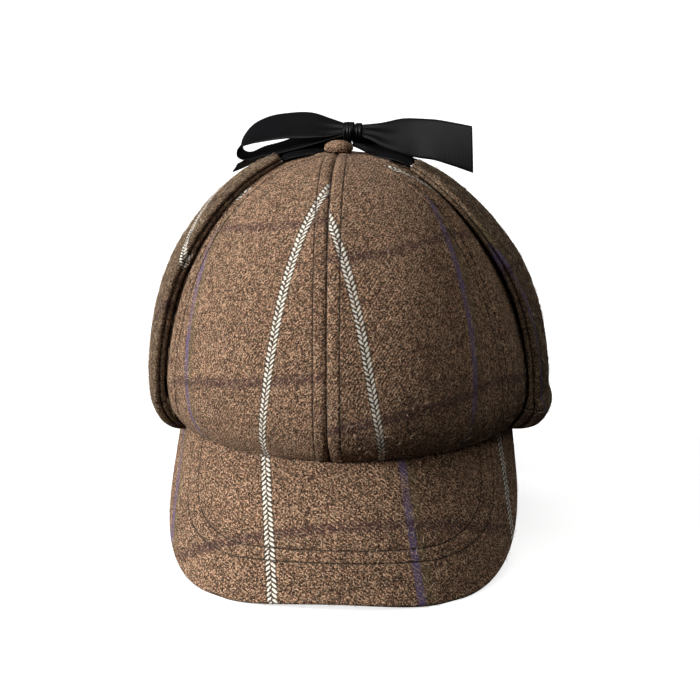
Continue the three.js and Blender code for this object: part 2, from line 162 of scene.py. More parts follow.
class FinishTree:
    """The node tree of one material."""

    def __init__(self, name: str) -> None:
        """Makes an empty material with its two fixed nodes."""
        self.material = bpy.data.materials.new(name)
        self.material.use_nodes = True
        self.nodes = self.material.node_tree.nodes
        self.links = self.material.node_tree.links
        self.nodes.clear()
        self.shader = self.nodes.new("ShaderNodeBsdfPrincipled")
        output = self.nodes.new("ShaderNodeOutputMaterial")
        self.links.new(self.shader.outputs[0], output.inputs["Surface"])

    def node(
        self,
        kind: str,
        settings: dict[str, object] | None = None,
        inputs: dict[int | str, object] | None = None,
        output: int | str = 0,
    ) -> Signal:
        """Adds a node.

        Args:
            kind: Blender's node type.
            settings: The node's own settings, set first.
            inputs: Values or signals by socket.
            output: The socket to give back.

        Returns:
            The chosen output.
        """
        node = self.nodes.new(kind)
        for key, value in (settings or {}).items():
            if key == "stops":
                self._ramp(node.color_ramp, value)
            else:
                setattr(node, key, value)
        for key, value in (inputs or {}).items():
            if isinstance(value, Signal):
                self.links.new(value.socket, node.inputs[key])
            else:
                node.inputs[key].default_value = value
        return Signal(self, node.outputs[output])

    @staticmethod
    def _ramp(ramp: bpy.types.ColorRamp, stops: list[tuple[float, tuple[float, float, float]]]) -> None:
        """Fills a colour ramp with its stops."""
        while len(ramp.elements) < len(stops):
            ramp.elements.new(0.5)
        for element, (place, colour) in zip(ramp.elements, stops):
            element.position = place
            element.color = (*colour, 1.0)

    def vector(self, x: object, y: object, z: object = 0.0) -> Signal:
        """Joins three numbers to a vector."""
        return self.node("ShaderNodeCombineXYZ", {}, {0: x, 1: y, 2: z})

    def blend(self, factor: Signal, first: object, second: object, mode: str = "MIX") -> Signal:
        """Mixes two colours.

        Args:
            factor: Share of the second colour.
            first: Colour at 0.
            second: Colour at 1.
            mode: Blender's name of the mix.

        Returns:
            The mixed colour.
        """
        settings = {"data_type": "RGBA", "blend_type": mode}
        return self.node("ShaderNodeMix", settings, {0: factor, 6: first, 7: second}, output=2)

    def choose(self, factor: Signal, first: object, second: object) -> Signal:
        """Mixes two numbers."""
        return self.node("ShaderNodeMix", {"data_type": "FLOAT"}, {0: factor, 2: first, 3: second})

    def fact(self, name: str) -> Signal:
        """Reads a number that the mesh stores at its points."""
        return self.node("ShaderNodeAttribute", {"attribute_name": name}, output="Fac")

    def cloth(self) -> tuple[Signal, Signal]:
        """Reads the place on the cloth, in millimetres."""
        uv = self.node("ShaderNodeUVMap", {"uv_map": CLOTH_MAP})
        parts = self.node("ShaderNodeSeparateXYZ", {}, {0: uv})
        u = parts * CLOTH_UNIT
        v = Signal(self, parts.socket.node.outputs[1]) * CLOTH_UNIT
        return u, v

    def noise(self, vector: Signal, scale: float, detail: float = 2.0) -> Signal:
        """Adds a noise texture over a vector."""
        return self.node(
            "ShaderNodeTexNoise", {"noise_dimensions": "3D"}, {"Vector": vector, "Scale": scale, "Detail": detail}
        )

    def surface(self, colour: object, roughness: object, height: Signal, depth: float) -> None:
        """Joins colour, roughness and relief to the shader.

        Args:
            colour: Base colour.
            roughness: Roughness.
            height: Relief from 0 to 1.
            depth: What a relief of 1 stands for, in metres.
        """
        bump = self.node("ShaderNodeBump", {}, {"Height": height, "Distance": depth, "Strength": 1.0})
        self.links.new(bump.socket, self.shader.inputs["Normal"])
        for name, value in {"Base Color": colour, "Roughness": roughness}.items():
            if isinstance(value, Signal):
                self.links.new(value.socket, self.shader.inputs[name])
            else:
                self.shader.inputs[name].default_value = value


# Finishes


@dataclass(frozen=True)
class TweedFinish:
    """Brown wool twill with a cream and a violet line and a dark band."""

    name: str = "wool_tweed"
    yarn: float = 0.51
    line_repeat: float = 118.0
    band_repeat: float = 77.0
    line_width: float = 2.25
    grain_pitch: float = 2.4
    dark: tuple[float, float, float] = (0.018, 0.008, 0.005)
    brown: tuple[float, float, float] = (0.080, 0.034, 0.017)
    tan: tuple[float, float, float] = (0.190, 0.089, 0.046)
    pale: tuple[float, float, float] = (0.750, 0.470, 0.295)
    cream: tuple[float, float, float] = (0.960, 0.930, 0.830)
    violet: tuple[float, float, float] = (0.150, 0.115, 0.260)
    olive: tuple[float, float, float] = (0.120, 0.110, 0.040)
    maroon: tuple[float, float, float] = (0.060, 0.022, 0.028)
    rust: tuple[float, float, float] = (0.26, 0.10, 0.05)
    moss: tuple[float, float, float] = (0.15, 0.14, 0.06)
    relief: float = 0.00040
    sheen: float = 0.14

    def build(self) -> bpy.types.Material:
        """Makes the material."""
        tree = FinishTree(self.name)
        u, v = tree.cloth()
        warp, thread, cross, height = self._weave(tree, u, v)
        colour = self._yarns(tree, u, v, warp, thread, cross)
        colour = self._overcheck(tree, u, v, warp, thread, colour)
        colour, grain = self._braid(tree, u, v, colour)
        colour, height = self._groove_shade_and_relief(tree, u, v, colour, tree.choose(grain, height, 1.9))
        tree.surface(colour, 0.92, height, self.relief)
        tree.shader.inputs["Sheen Weight"].default_value = self.sheen
        tree.shader.inputs["Sheen Roughness"].default_value = 0.6
        tree.shader.inputs["Sheen Tint"].default_value = (0.9, 0.72, 0.55, 1.0)
        tree.shader.inputs["Specular IOR Level"].default_value = 0.25
        return tree.material

    def _weave(self, tree: FinishTree, u: Signal, v: Signal) -> tuple[Signal, Signal, Signal, Signal]:
        """Twill of two over two.

        Returns:
            Where the warp is on top, random numbers for each float as a colour, a random number
            for each crossing, and relief.
        """
        sway = tree.noise(tree.vector(u, v), 0.35, 1.0)
        across = u / self.yarn + sway * 1.3
        along = v / self.yarn + sway * 0.9
        end, pick = across.floor(), along.floor()
        step = (end - pick) * 0.25
        warp = step.part().below(0.49)
        float_id = tree.vector(tree.choose(warp, pick, end), step.floor(), warp * 7.0)
        thread = tree.node("ShaderNodeTexWhiteNoise", {"noise_dimensions": "3D"}, {"Vector": float_id}, "Color")
        crossing = tree.node(
            "ShaderNodeTexWhiteNoise", {"noise_dimensions": "3D"}, {"Vector": tree.vector(end, pick, 3.0)}
        )
        over = tree.choose(warp, along.part(), across.part())
        round_top = (over * 0.5).wave().power(0.6)
        diagonal = ((across - along) * 0.25).wave() * 0.5 + 0.5
        fibre = tree.noise(tree.vector(u, v), 3.6, 2.0)
        return warp, thread, crossing, round_top * 0.5 + diagonal * 0.3 + fibre * 0.6 + crossing * 0.5

    def _yarns(
        self, tree: FinishTree, u: Signal, v: Signal, warp: Signal, thread: Signal, cross: Signal
    ) -> Signal:
        """Colours the mixed yarns, with lighter and darker patches of wool."""
        parts = tree.node("ShaderNodeSeparateColor", {}, {0: thread})
        second = Signal(tree, parts.socket.node.outputs[1])
        place = tree.vector(u, v)
        fibre = tree.noise(place, 2.7, 1.0)
        patch = tree.noise(place, 0.05, 2.0)
        shade = parts * 0.35 + cross * 1.6 + warp * 0.2 + fibre * 0.7 + patch * 0.35 - 1.24
        stops = [
            (0.08, self.dark),
            (0.36, self.brown),
            (0.66, self.tan),
            (1.0, self.pale),
        ]
        colour = tree.node("ShaderNodeValToRGB", {"stops": stops}, {0: shade})
        curl = (tree.noise(place, 0.8, 1.0) - 0.5).size().ease(0.012, 0.036, 1.0, 0.0)
        other = (tree.noise(tree.vector(v * 1.1, u), 1.0, 1.0) - 0.5).size().ease(0.012, 0.036, 1.0, 0.0)
        short = tree.noise(tree.vector(v, u), 0.45, 1.0).ease(0.44, 0.56)
        strand = (curl * short).math("MAXIMUM", other * (1.0 - short))
        colour = tree.blend(strand * 0.6, colour, (*self.pale, 1.0))
        rust = second.below(0.06)
        colour = tree.blend(rust * 0.4, colour, (*self.rust, 1.0))
        moss = second.math("GREATER_THAN", 0.93)
        return tree.blend(moss * 0.4, colour, (*self.moss, 1.0))

    def _overcheck(
        self, tree: FinishTree, u: Signal, v: Signal, warp: Signal, thread: Signal, colour: Signal
    ) -> Signal:
        """Adds the violet line and the dark band, thread by thread."""
        third = Signal(tree, tree.node("ShaderNodeSeparateColor", {}, {0: thread}).socket.node.outputs[2])
        off = ((u / self.line_repeat).part() - 0.5) * self.line_repeat
        broken = tree.noise(tree.vector(u, v), 0.06, 2.0).ease(0.34, 0.56, 0.35, 1.0)
        line = off.size().ease(1.0, 2.4, 1.0, 0.0) * (warp * 0.3 + 0.62) * third.ease(0.0, 0.4, 0.35, 1.0)
        beside = (off - 3.6).size().ease(1.5, 3.2, 1.0, 0.0) * (warp * 0.3 + 0.15)
        colour = tree.blend(beside, colour, (*self.olive, 1.0))
        colour = tree.blend(line * broken, colour, (*self.violet, 1.0))
        high = ((v / self.band_repeat + 0.5).part() - 0.5) * self.band_repeat
        band = high.size().ease(1.2, 3.4, 1.0, 0.0)
        return tree.blend(band * (0.85 - warp * 0.3) * third.ease(0.05, 0.45), colour, (*self.maroon, 1.0))

    def _braid(self, tree: FinishTree, u: Signal, v: Signal, colour: Signal) -> tuple[Signal, Signal]:
        """Adds the cream line: two rows of slanted grains that meet in a V.

        Returns:
            The colour and the relief of the grains.
        """
        shake = tree.noise(tree.vector(u, v), 0.9, 1.0) - 0.5
        off = ((u / self.line_repeat + 0.5).part() - 0.5) * self.line_repeat + shake * 0.7
        left = off.below(0.0)
        far = off.size()
        count = (v - far * 0.85) / self.grain_pitch + left * 0.5 + shake * 0.5
        tint = tree.node(
            "ShaderNodeTexWhiteNoise", {"noise_dimensions": "2D"}, {"Vector": tree.vector(count.floor(), left)}
        )
        side = (far - self.line_width * 0.5) / (self.line_width * (tint * 0.08 + 0.45))
        row = (count.part() - 0.5) / (tint * 0.08 + 0.31)
        reach = side * side + row * row
        grain = reach.ease(0.7, 1.1, 1.0, 0.0)
        shadow = far.ease(self.line_width * 1.0, self.line_width * 1.2, 1.0, 0.0)
        fibre = tree.noise(tree.vector(u, v), 2.6, 2.0)
        colour = tree.blend(shadow * 0.75, colour, (0.040, 0.022, 0.012, 1.0))
        bright = tree.blend(tint * 0.15 + fibre * 0.12, (*self.cream, 1.0), (0.60, 0.52, 0.39, 1.0))
        return tree.blend(grain * 0.96, colour, bright), grain

    def _groove_shade_and_relief(
        self, tree: FinishTree, u: Signal, v: Signal, colour: Signal, height: Signal
    ) -> tuple[Signal, Signal]:
        """Paints shade into the cloth at the seams and at the rows of stitching, and sinks it there.

        Returns:
            The colour and the relief.
        """
        near = tree.fact("row").size().math("MINIMUM", tree.fact("row_two").size())
        row = near.ease(0.10, 0.50, 1.0, 0.0)
        seam = tree.fact("seam").ease(0.08, 0.46, 1.0, 0.0)
        wide = tree.fact("seam").ease(0.3, 2.4, 1.0, 0.0)
        # painted shade: the cloth goes towards near black in the seams, along the rows of stitching and faintly
        # beside each seam, as shade in the grooves
        dark = row * 0.76 + seam * 0.70 + wide * 0.06
        colour = tree.blend(dark.math("MINIMUM", 0.9), colour, (0.014, 0.009, 0.006, 1.0))
        return colour, height - row * 2.0 - seam * 1.8


@dataclass(frozen=True)
class RibbonFinish:
    """Black ribbon with fine cross ribs."""

    name: str = "black_grosgrain"
    rib: float = 0.95
    colour: tuple[float, float, float] = (0.0045, 0.0045, 0.0056)
    relief: float = 0.00005
    width: float = 25.0

    def build(self) -> bpy.types.Material:
        """Makes the material."""
        tree = FinishTree(self.name)
        u, v = tree.cloth()
        drift = tree.noise(tree.vector(u * 0.2, v), 0.6, 1.0) * 0.25
        ribs = (v / self.rib + drift).wave() * 0.5 + 0.5
        threads = (u / 0.22).wave() * 0.5 + 0.5
        edge = (u.size() - self.width * 0.5).size().ease(0.3, 0.9, 1.0, 0.0)
        wear = tree.noise(tree.vector(u, v), 0.12, 3.0)
        # painted shade: the black goes darker in the troughs between the ribs, mixed with darker and lighter
        # patches at random
        shade = ribs * 0.4 + wear * 0.5
        colour = tree.blend(shade, (0.0022, 0.0022, 0.003, 1.0), (*self.colour, 1.0))
        roughness = ribs * -0.08 + wear * 0.1 + 0.44
        tree.surface(colour, roughness, ribs * 0.8 + threads * 0.12 + edge * 0.9, self.relief)
        tree.shader.inputs["Specular IOR Level"].default_value = 0.29
        return tree.material


@dataclass(frozen=True)
class ThreadFinish:
    """Twisted sewing thread or single wool hairs."""

    name: str
    colour: tuple[float, float, float]
    other: tuple[float, float, float]
    scale: float = 900.0
    roughness: float = 0.8

    def build(self) -> bpy.types.Material:
        """Makes the material."""
        tree = FinishTree(self.name)
        place = tree.node("ShaderNodeTexCoord", {}, {}, "Object")
        noise = tree.noise(place, self.scale, 2.0)
        colour = tree.blend(noise.ease(0.3, 0.7), (*self.colour, 1.0), (*self.other, 1.0))
        tree.surface(colour, self.roughness, noise, 0.00005)
        return tree.material


@dataclass(frozen=True)
class StageFinish:
    """Plain pale floor."""

    name: str = "pale_floor"

    def build(self) -> bpy.types.Material:
        """Makes the material."""
        tree = FinishTree(self.name)
        place = tree.node("ShaderNodeTexCoord", {}, {}, "Object")
        noise = tree.noise(place, 40.0, 2.0)
        colour = tree.blend(noise, (0.60, 0.60, 0.60, 1.0), (0.62, 0.62, 0.62, 1.0))
        tree.surface(colour, 0.85, noise, 0.00002)
        tree.shader.inputs["Emission Color"].default_value = (1.0, 1.0, 1.0, 1.0)
        tree.shader.inputs["Emission Strength"].default_value = 0.82
        return tree.material


# Shape helpers


def unit(vectors: np.ndarray) -> np.ndarray:
    """Vectors of length one along the last axis."""
    length = np.linalg.norm(vectors, axis=-1, keepdims=True)
    return vectors / np.maximum(length, 1e-9)


def bell(distance: np.ndarray, width: float) -> np.ndarray:
    """Bell curve of a distance."""
    return np.exp(-np.square(distance / width))


def smooth(value: np.ndarray, low: float, high: float) -> np.ndarray:
    """Smooth step from 0 to 1 between two limits."""
    share = np.clip((value - low) / (high - low), 0.0, 1.0)
    return share * share * (3.0 - 2.0 * share)


def ripples(along: np.ndarray, lengths: tuple[float, ...], seed: int) -> np.ndarray:
    """Uneven waves along a line.

    Args:
        along: Distance along the line.
        lengths: Wave lengths.
        seed: Start of the random phases.

    Returns:
        A height between about -1 and 1.
    """
    rng = np.random.default_rng(seed)
    total = np.zeros_like(along)
    for length in lengths:
        stretch = 1.0 + 0.25 * np.sin(along / (3.7 * length) + rng.uniform(0, math.tau))
        total += np.sin(math.tau * along / length * stretch + rng.uniform(0, math.tau))
    return total / len(lengths)


def distance_to_line(points: np.ndarray, line: np.ndarray) -> np.ndarray:
    """Shortest distance from each point to a polyline.

    Args:
        points: N by 2 places.
        line: M by 2 corners.

    Returns:
        N distances.
    """
    start, step = line[:-1], np.diff(line, axis=0)
    span = np.maximum((step**2).sum(1), 1e-9)
    best = np.full(len(points), 1e9)
    for first, move, size in zip(start, step, span):
        away = points - first
        share = np.clip((away @ move) / size, 0.0, 1.0)
        best = np.minimum(best, np.linalg.norm(away - share[:, None] * move, axis=1))
    return best


def arc_lengths(points: np.ndarray) -> np.ndarray:
    """Distance along each row of a grid of points, from its first column."""
    steps = np.linalg.norm(np.diff(points, axis=1), axis=-1)
    return np.concatenate([np.zeros((len(points), 1)), np.cumsum(steps, axis=1)], axis=1)


@dataclass
class Skin:
    """One face of a cloth piece as a grid of points, with its place on the cloth and facts."""

    points: np.ndarray
    cloth: np.ndarray
    facts: dict[str, np.ndarray] = field(default_factory=dict)

    def normals(self) -> np.ndarray:
        """Unit normal at each point of the grid."""
        across = np.gradient(self.points, axis=1)
        along = np.gradient(self.points, axis=0)
        return unit(np.cross(across, along))


@dataclass
class Shell:
    """A closed cloth piece between an outer and an inner skin, with rings round its border."""

    name: str
    outer: Skin
    inner: Skin
    rings: list[np.ndarray] = field(default_factory=list)
    ring_seams: list[float] = field(default_factory=list)

    def border(self) -> list[int]:
        """Grid indexes round the border, in order."""
        rows, columns = self.outer.points.shape[:2]
        top = list(range(columns))
        right = [row * columns + columns - 1 for row in range(1, rows)]
        bottom = [(rows - 1) * columns + column for column in range(columns - 2, -1, -1)]
        left = [row * columns for row in range(rows - 2, 0, -1)]
        return top + right + bottom + left

    def build(self, material: bpy.types.Material) -> bpy.types.Object:
        """Makes the mesh.

        Args:
            material: The piece's finish.

        Returns:
            The object, at the origin, in metres.
        """
        rows, columns = self.outer.points.shape[:2]
        count = rows * columns
        edge = self.border()
        points = [self.outer.points.reshape(-1, 3), self.inner.points.reshape(-1, 3)]
        cloth = [self.outer.cloth.reshape(-1, 2), self.inner.cloth.reshape(-1, 2)]
        points += self.rings
        cloth += self._ring_cloth(points[0][edge], points[1][edge])
        grid = np.arange(count).reshape(rows, columns)
        quads = np.stack([grid[:-1, :-1], grid[:-1, 1:], grid[1:, 1:], grid[1:, :-1]], axis=-1).reshape(-1, 4)
        faces = [quads, quads[:, ::-1] + count]
        chain = [np.array(edge)]
        chain += [np.arange(len(edge)) + 2 * count + index * len(edge) for index in range(len(self.rings))]
        chain.append(np.array(edge) + count)
        for near, far in zip(chain[:-1], chain[1:]):
            faces.append(np.stack([np.roll(near, -1), near, far, np.roll(far, -1)], axis=-1))
        places = np.concatenate(points)
        corners = np.concatenate(faces)
        facts = {}
        for name in FACTS:
            plain = np.full((rows, columns), 50.0)
            near_values = self.outer.facts.get(name, plain).reshape(-1)
            far_values = self.inner.facts.get(name, plain).reshape(-1)
            ring_values = [near_values[edge]] * len(self.rings)
            if name == "seam" and self.ring_seams:
                ring_values = [np.full(len(edge), distance) for distance in self.ring_seams]
            facts[name] = np.concatenate([near_values, far_values, *ring_values])
        return make_mesh(self.name, places, [corners], np.concatenate(cloth), facts, material)

    def _ring_cloth(self, first: np.ndarray, last: np.ndarray) -> list[np.ndarray]:
        """Place on the cloth of each ring: each face's cloth runs on round the border.

        Args:
            first: Border of the outer skin.
            last: Border of the inner skin.

        Returns:
            One list of places for each ring.
        """
        chain = [first, *self.rings, last]
        steps = [np.linalg.norm(after - before, axis=1) for before, after in zip(chain[:-1], chain[1:])]
        rows, columns = self.outer.points.shape[:2]
        edge = np.array(self.border())
        row, column = np.clip(edge // columns, 1, rows - 2), np.clip(edge % columns, 1, columns - 2)
        starts, outwards = [], []
        for skin in (self.outer, self.inner):
            start = skin.cloth.reshape(-1, 2)[edge]
            starts.append(start)
            outwards.append(unit(start - skin.cloth[row, column]))
        made = []
        for index in range(len(self.rings)):
            before = sum(steps[: index + 1])
            behind = sum(steps[index + 1 :])
            outer = index < len(self.rings) / 2
            start, away, run = (starts[0], outwards[0], before) if outer else (starts[1], outwards[1], behind)
            made.append(start + away * run[:, None])
        return made


def make_mesh(
    name: str,
    points: np.ndarray,
    faces: list[np.ndarray],
    cloth: np.ndarray,
    facts: dict[str, np.ndarray],
    material: bpy.types.Material,
) -> bpy.types.Object:
    """Makes an object from points in millimetres.

    Args:
        name: Piece name.
        points: N by 3 places.
        faces: Arrays of corners, each with 3 or 4 to a face.
        cloth: N by 2 places on the cloth, in millimetres.
        facts: Numbers stored at the points.
        material: The piece's finish.

    Returns:
        The object, with its faces pointing out.
    """
    centre = points.mean(0)
    volume = 0.0
    for part in faces:
        fan = points[part] - centre
        for turn in range(1, part.shape[1] - 1):
            volume += np.einsum("ij,ij->i", fan[:, 0], np.cross(fan[:, turn], fan[:, turn + 1])).sum()
    corners = [face for part in faces for face in (part if volume > 0 else part[:, ::-1]).tolist()]
    mesh = bpy.data.meshes.new(name)
    mesh.from_pydata((points * METRE).tolist(), [], corners)
    layer = mesh.uv_layers.new(name=CLOTH_MAP)
    corner_points = np.zeros(len(mesh.loops), np.int32)
    mesh.loops.foreach_get("vertex_index", corner_points)
    layer.data.foreach_set("uv", (cloth[corner_points] / CLOTH_UNIT).astype(np.float32).ravel())
    for key, values in facts.items():
        store = mesh.attributes.new(key, "FLOAT", "POINT")
        store.data.foreach_set("value", values.astype(np.float32))
    mesh.materials.append(material)
    mesh.polygons.foreach_set("use_smooth", np.ones(len(mesh.polygons), bool))
    mesh.update()
    piece = bpy.data.objects.new(name, mesh)
    bpy.context.scene.collection.objects.link(piece)
    return piece


def select_only(piece: bpy.types.Object) -> None:
    """Selects one object and makes it the active one."""
    bpy.ops.object.select_all(action="DESELECT")
    piece.select_set(True)
    bpy.context.view_layer.objects.active = piece


def close_up(piece: bpy.types.Object, reach: float = 0.00002) -> None:
    """Merges points that lie together and turns the faces out."""
    select_only(piece)
    bpy.ops.object.mode_set(mode="EDIT")
    bpy.ops.mesh.select_all(action="SELECT")
    bpy.ops.mesh.remove_doubles(threshold=reach)
    bpy.ops.mesh.select_all(action="SELECT")
    bpy.ops.mesh.normals_make_consistent(inside=False)
    bpy.ops.object.mode_set(mode="OBJECT")


def fit_to_hat(piece: bpy.types.Object, slot: Slot, *nodes: str) -> None:
    """Lets a piece move with the hat and hides the solids it stands for."""
    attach(piece, "root")
    if nodes:
        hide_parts(*nodes)
    LOG.info("%s: %d faces", piece.name, len(piece.data.polygons))


# Crown


@dataclass(frozen=True)
class Dome:
    """The crown's body: an oval dome with its rim drawn in, in millimetres and degrees."""

    half_width: float = 97.5
    half_depth: float = 107.0
    height: float = 134.0
    roundness: float = 2.12
    lean: float = -5.0
    rim_tuck: float = 10.5
    tuck_height: float = 9.0
    rim_height: float = PEAK_LENGTH * math.sin(math.radians(PEAK_SLOPE)) + SEAM_GAP

    def point(self, azimuth: np.ndarray, height: np.ndarray) -> np.ndarray:
        """Place on the dome at an azimuth in radians and a height above the rim."""
        rise = np.clip(height / self.height, 0.0, 1.0)
        round_ = np.power(1 - np.power(rise, self.roundness), 1 / self.roundness)
        tuck = 1 - (self.rim_tuck / self.half_width) * np.exp(-height / self.tuck_height)
        x = self.half_width * round_ * tuck * np.sin(azimuth) + self.lean * rise * rise
        y = -self.half_depth * round_ * tuck * np.cos(azimuth)
        return np.stack([x, y, self.rim_height + height + 0 * x], axis=-1)

    def normal(self, azimuth: np.ndarray, height: np.ndarray) -> np.ndarray:
        """Outward unit normal of the dome."""
        step = 0.01
        low = np.clip(height, step, self.height - 2 * step)
        across = self.point(azimuth + step, low) - self.point(azimuth - step, low)
        up = self.point(azimuth, low + step) - self.point(azimuth, low - step)
        return unit(np.cross(across, up))

    def height_at(self, x: float, y: float) -> float:
        """Height of the dome above the floor at a place seen from the top."""
        share = math.hypot((x - self.lean) / self.half_width, y / self.half_depth)
        rise = max(0.0, 1 - share**self.roundness) ** (1 / self.roundness)
        return self.rim_height + self.height * rise


@dataclass(frozen=True)
class ClothCut:
    """Where a piece was cut from the patterned cloth, and how the cloth leans on it."""

    across: float
    up: float
    lean: float = 0.0
    slope: float = 0.0
    stretch: float = 1.0

    def place(self, u: np.ndarray, v: np.ndarray) -> np.ndarray:
        """Place on the cloth of a place on the piece, both in millimetres."""
        across = (u - self.lean * v) * self.stretch - self.across
        up = v - self.slope * u - self.up
        return np.stack([across, up], axis=-1)


@dataclass
class CrownPanel:
    """One of the six panels, between two seams."""

    name: str
    start: float
    end: float
    cut: ClothCut
    seed: int
    dome: Dome = field(default_factory=Dome)
    wall: float = 2.5
    seam_gap: float = SEAM_GAP
    stitch_offset: float = 6.0
    rows: int = 120
    top_radius: float = 4.0
    row_spread: float = 1.3
    ridges: tuple[float, float] = (0.8, 0.8)
    ridge_width: float = 15.0
    ease: float = 0.45
    ease_height: float = 20.0

    def heights(self) -> np.ndarray:
        """Heights of the rows above the rim, closer together at the rim."""
        power = self.dome.roundness
        top_share = self.top_radius / self.dome.half_width
        top = self.dome.height * (1 - top_share**power) ** (1 / power)
        lift = math.asin((top / self.dome.height) ** (power / 2))
        share = (np.arange(self.rows + 1) / self.rows) ** self.row_spread
        return self.dome.height * np.sin(lift * share) ** (2 / power)

    def columns(self, width: float) -> np.ndarray:
        """Distances of the columns from the first seam, for a panel of that width.

        Args:
            width: Distance between the seams.

        Returns:
            The distances, with fine steps beside the seams and the stitching.
        """
        near = np.array([0, 0.3, 0.7, 1.2, 1.8, 2.6, 3.5, 4.4, 5.1, 5.6, 6.0, 6.4, 6.9, 7.8, 9.2])
        half = width / 2
        near = near * min(1.0, half / 16.0)
        rest = np.linspace(near[-1], half, 16)[1:]
        side = np.concatenate([near, rest])
        return np.concatenate([side, width - side[-2::-1]])

    def build(self, material: bpy.types.Material) -> tuple[bpy.types.Object, Skin]:
        """Makes the panel.

        Args:
            material: The tweed.

        Returns:
            The piece and its outer skin.
        """
        heights = self.heights()
        azimuths, seams, cloth_u, ridges = [], [], [], []
        for height in heights:
            first, last = math.radians(self.start), math.radians(self.end)
            axis = np.array([self.dome.lean * (height / self.dome.height) ** 2, 0.0])
            samples = np.linspace(first, last, 60)
            ring = self.dome.point(samples, np.full(60, height))
            run = np.concatenate([[0], np.cumsum(np.linalg.norm(np.diff(ring, axis=0), axis=1))])
            offsets = self.columns(run[-1])
            azimuth = np.interp(offsets, run, samples)
            ends = self.dome.point(np.array([first, last]), np.array([height, height]))[:, :2] - axis
            trim = self.seam_gap / 2 / np.linalg.norm(ends, axis=1)
            azimuth = first + trim[0] + (azimuth - first) * (last - first - trim.sum()) / (last - first)
            azimuths.append(azimuth)
            seams.append(np.minimum(offsets, run[-1] - offsets))
            cloth_u.append(offsets - run[-1] / 2)
            ridge = self.ridges[0] * bell(offsets, self.ridge_width)
            ridges.append(ridge + self.ridges[1] * bell(run[-1] - offsets, self.ridge_width))
        azimuth, seam, u = np.array(azimuths), np.array(seams), np.array(cloth_u)
        height = np.repeat(heights[:, None], azimuth.shape[1], axis=1)
        surface = self.dome.point(azimuth, height)
        normal = self.dome.normal(azimuth, height)
        run = np.concatenate([[0], np.cumsum(np.linalg.norm(np.diff(surface[:, 23], axis=0), axis=1))])
        v = np.repeat(run[:, None], azimuth.shape[1], axis=1)
        level = unit(normal * np.array([1.0, 1.0, 0.0]))
        at_rim = bell(height, 1.2)[..., None]
        inwards = unit(normal * (1 - at_rim) + level * at_rim)
        ridge = np.array(ridges) * (0.25 + 0.75 * smooth(v, 2.0, 22.0)) * smooth(run[-1] - v, 8.0, 75.0)
        relief = self._relief(seam, np.abs(seam - self.stitch_offset), u, v) + ridge
        slant = (inwards * normal).sum(-1)
        outer_points = surface + inwards * (relief / slant)[..., None]
        inner_points = surface + inwards * ((ridge - self.wall) / slant)[..., None]
        cloth = self.cut.place(u * (1 + self.ease * np.exp(-v / self.ease_height)), v)
        facts = {"seam": seam, "row": seam - self.stitch_offset}
        outer = Skin(outer_points, cloth, facts)
        inner = Skin(inner_points, cloth, {"seam": seam})
        piece = Shell(self.name, outer, inner).build(material)
        return piece, outer

    def _relief(self, seam: np.ndarray, stitch: np.ndarray, u: np.ndarray, v: np.ndarray) -> np.ndarray:
        """Height of the cloth over the dome: seam, padding, stitching, puckers and soft dents."""
        top = smooth(v, 0.0, 12.0)
        valley = -0.5 * bell(seam, 0.6) - 0.2 * bell(seam, 2.2)
        padding = 0.35 * smooth(seam, 0.6, 2.2) * (1 - smooth(seam, 5.4, 8.0))
        row = -0.35 * bell(stitch, 0.55)
        pucker = 0.16 * ripples(v + 3 * np.sign(u), (7.0, 10.5, 15.0), self.seed) * bell(seam - 3, 5.0)
        soft = 0.45 * ripples(v + 0.4 * u, (61.0, 43.0), self.seed + 1)
        soft = soft * ripples(u - 0.3 * v, (57.0, 38.0), self.seed + 2) * smooth(seam, 5.0, 18.0)
        return valley + padding + row + (pucker + soft) * top


@dataclass
class Crown:
    """The six panels of the crown."""

    turn: float = -2.6
    dome: Dome = field(default_factory=Dome)

    def panels(self) -> list[CrownPanel]:
        """Each panel with the place where it was cut from the cloth."""
        cuts = {
            "crown_front_right": ClothCut(-32.0, 28.6, slope=0.14),
            "crown_side_right": ClothCut(-17.0, 26.0, slope=-0.1),
            "crown_back_right": ClothCut(20.0, 34.0, slope=-0.05),
            "crown_back_left": ClothCut(-26.0, 26.0, slope=0.05),
            "crown_side_left": ClothCut(29.0, 40.0, slope=-0.05),
            "crown_front_left": ClothCut(23.5, 37.3, slope=0.15),
        }
        front, plain = 1.5, 0.6
        ridges = {"crown_front_right": (front, plain), "crown_front_left": (plain, front)}
        made = []
        for index, (name, cut) in enumerate(cuts.items()):
            start = 60.0 * index + self.turn
            panel = CrownPanel(name, start, start + 60.0, cut, 100 + 10 * index, self.dome)
            panel.ridges = ridges.get(name, (plain, plain))
            made.append(panel)
        return made

    def build(self, tweed: bpy.types.Material) -> list[Skin]:
        """Makes the panels and gives back their outer skins."""
        skins = []
        for panel in self.panels():
            piece, skin = panel.build(tweed)
            fit_to_hat(piece, Slot.TWEED, panel.name)
            skins.append(skin)
        return skins


# Peaks


class StitchRow(Enum):
    """Rows of stitching on a peak: half angle, depth and squareness."""

    OUTER = (57.5, 47.6, 4.6)
    INNER = (51.2, 41.8, 4.2)


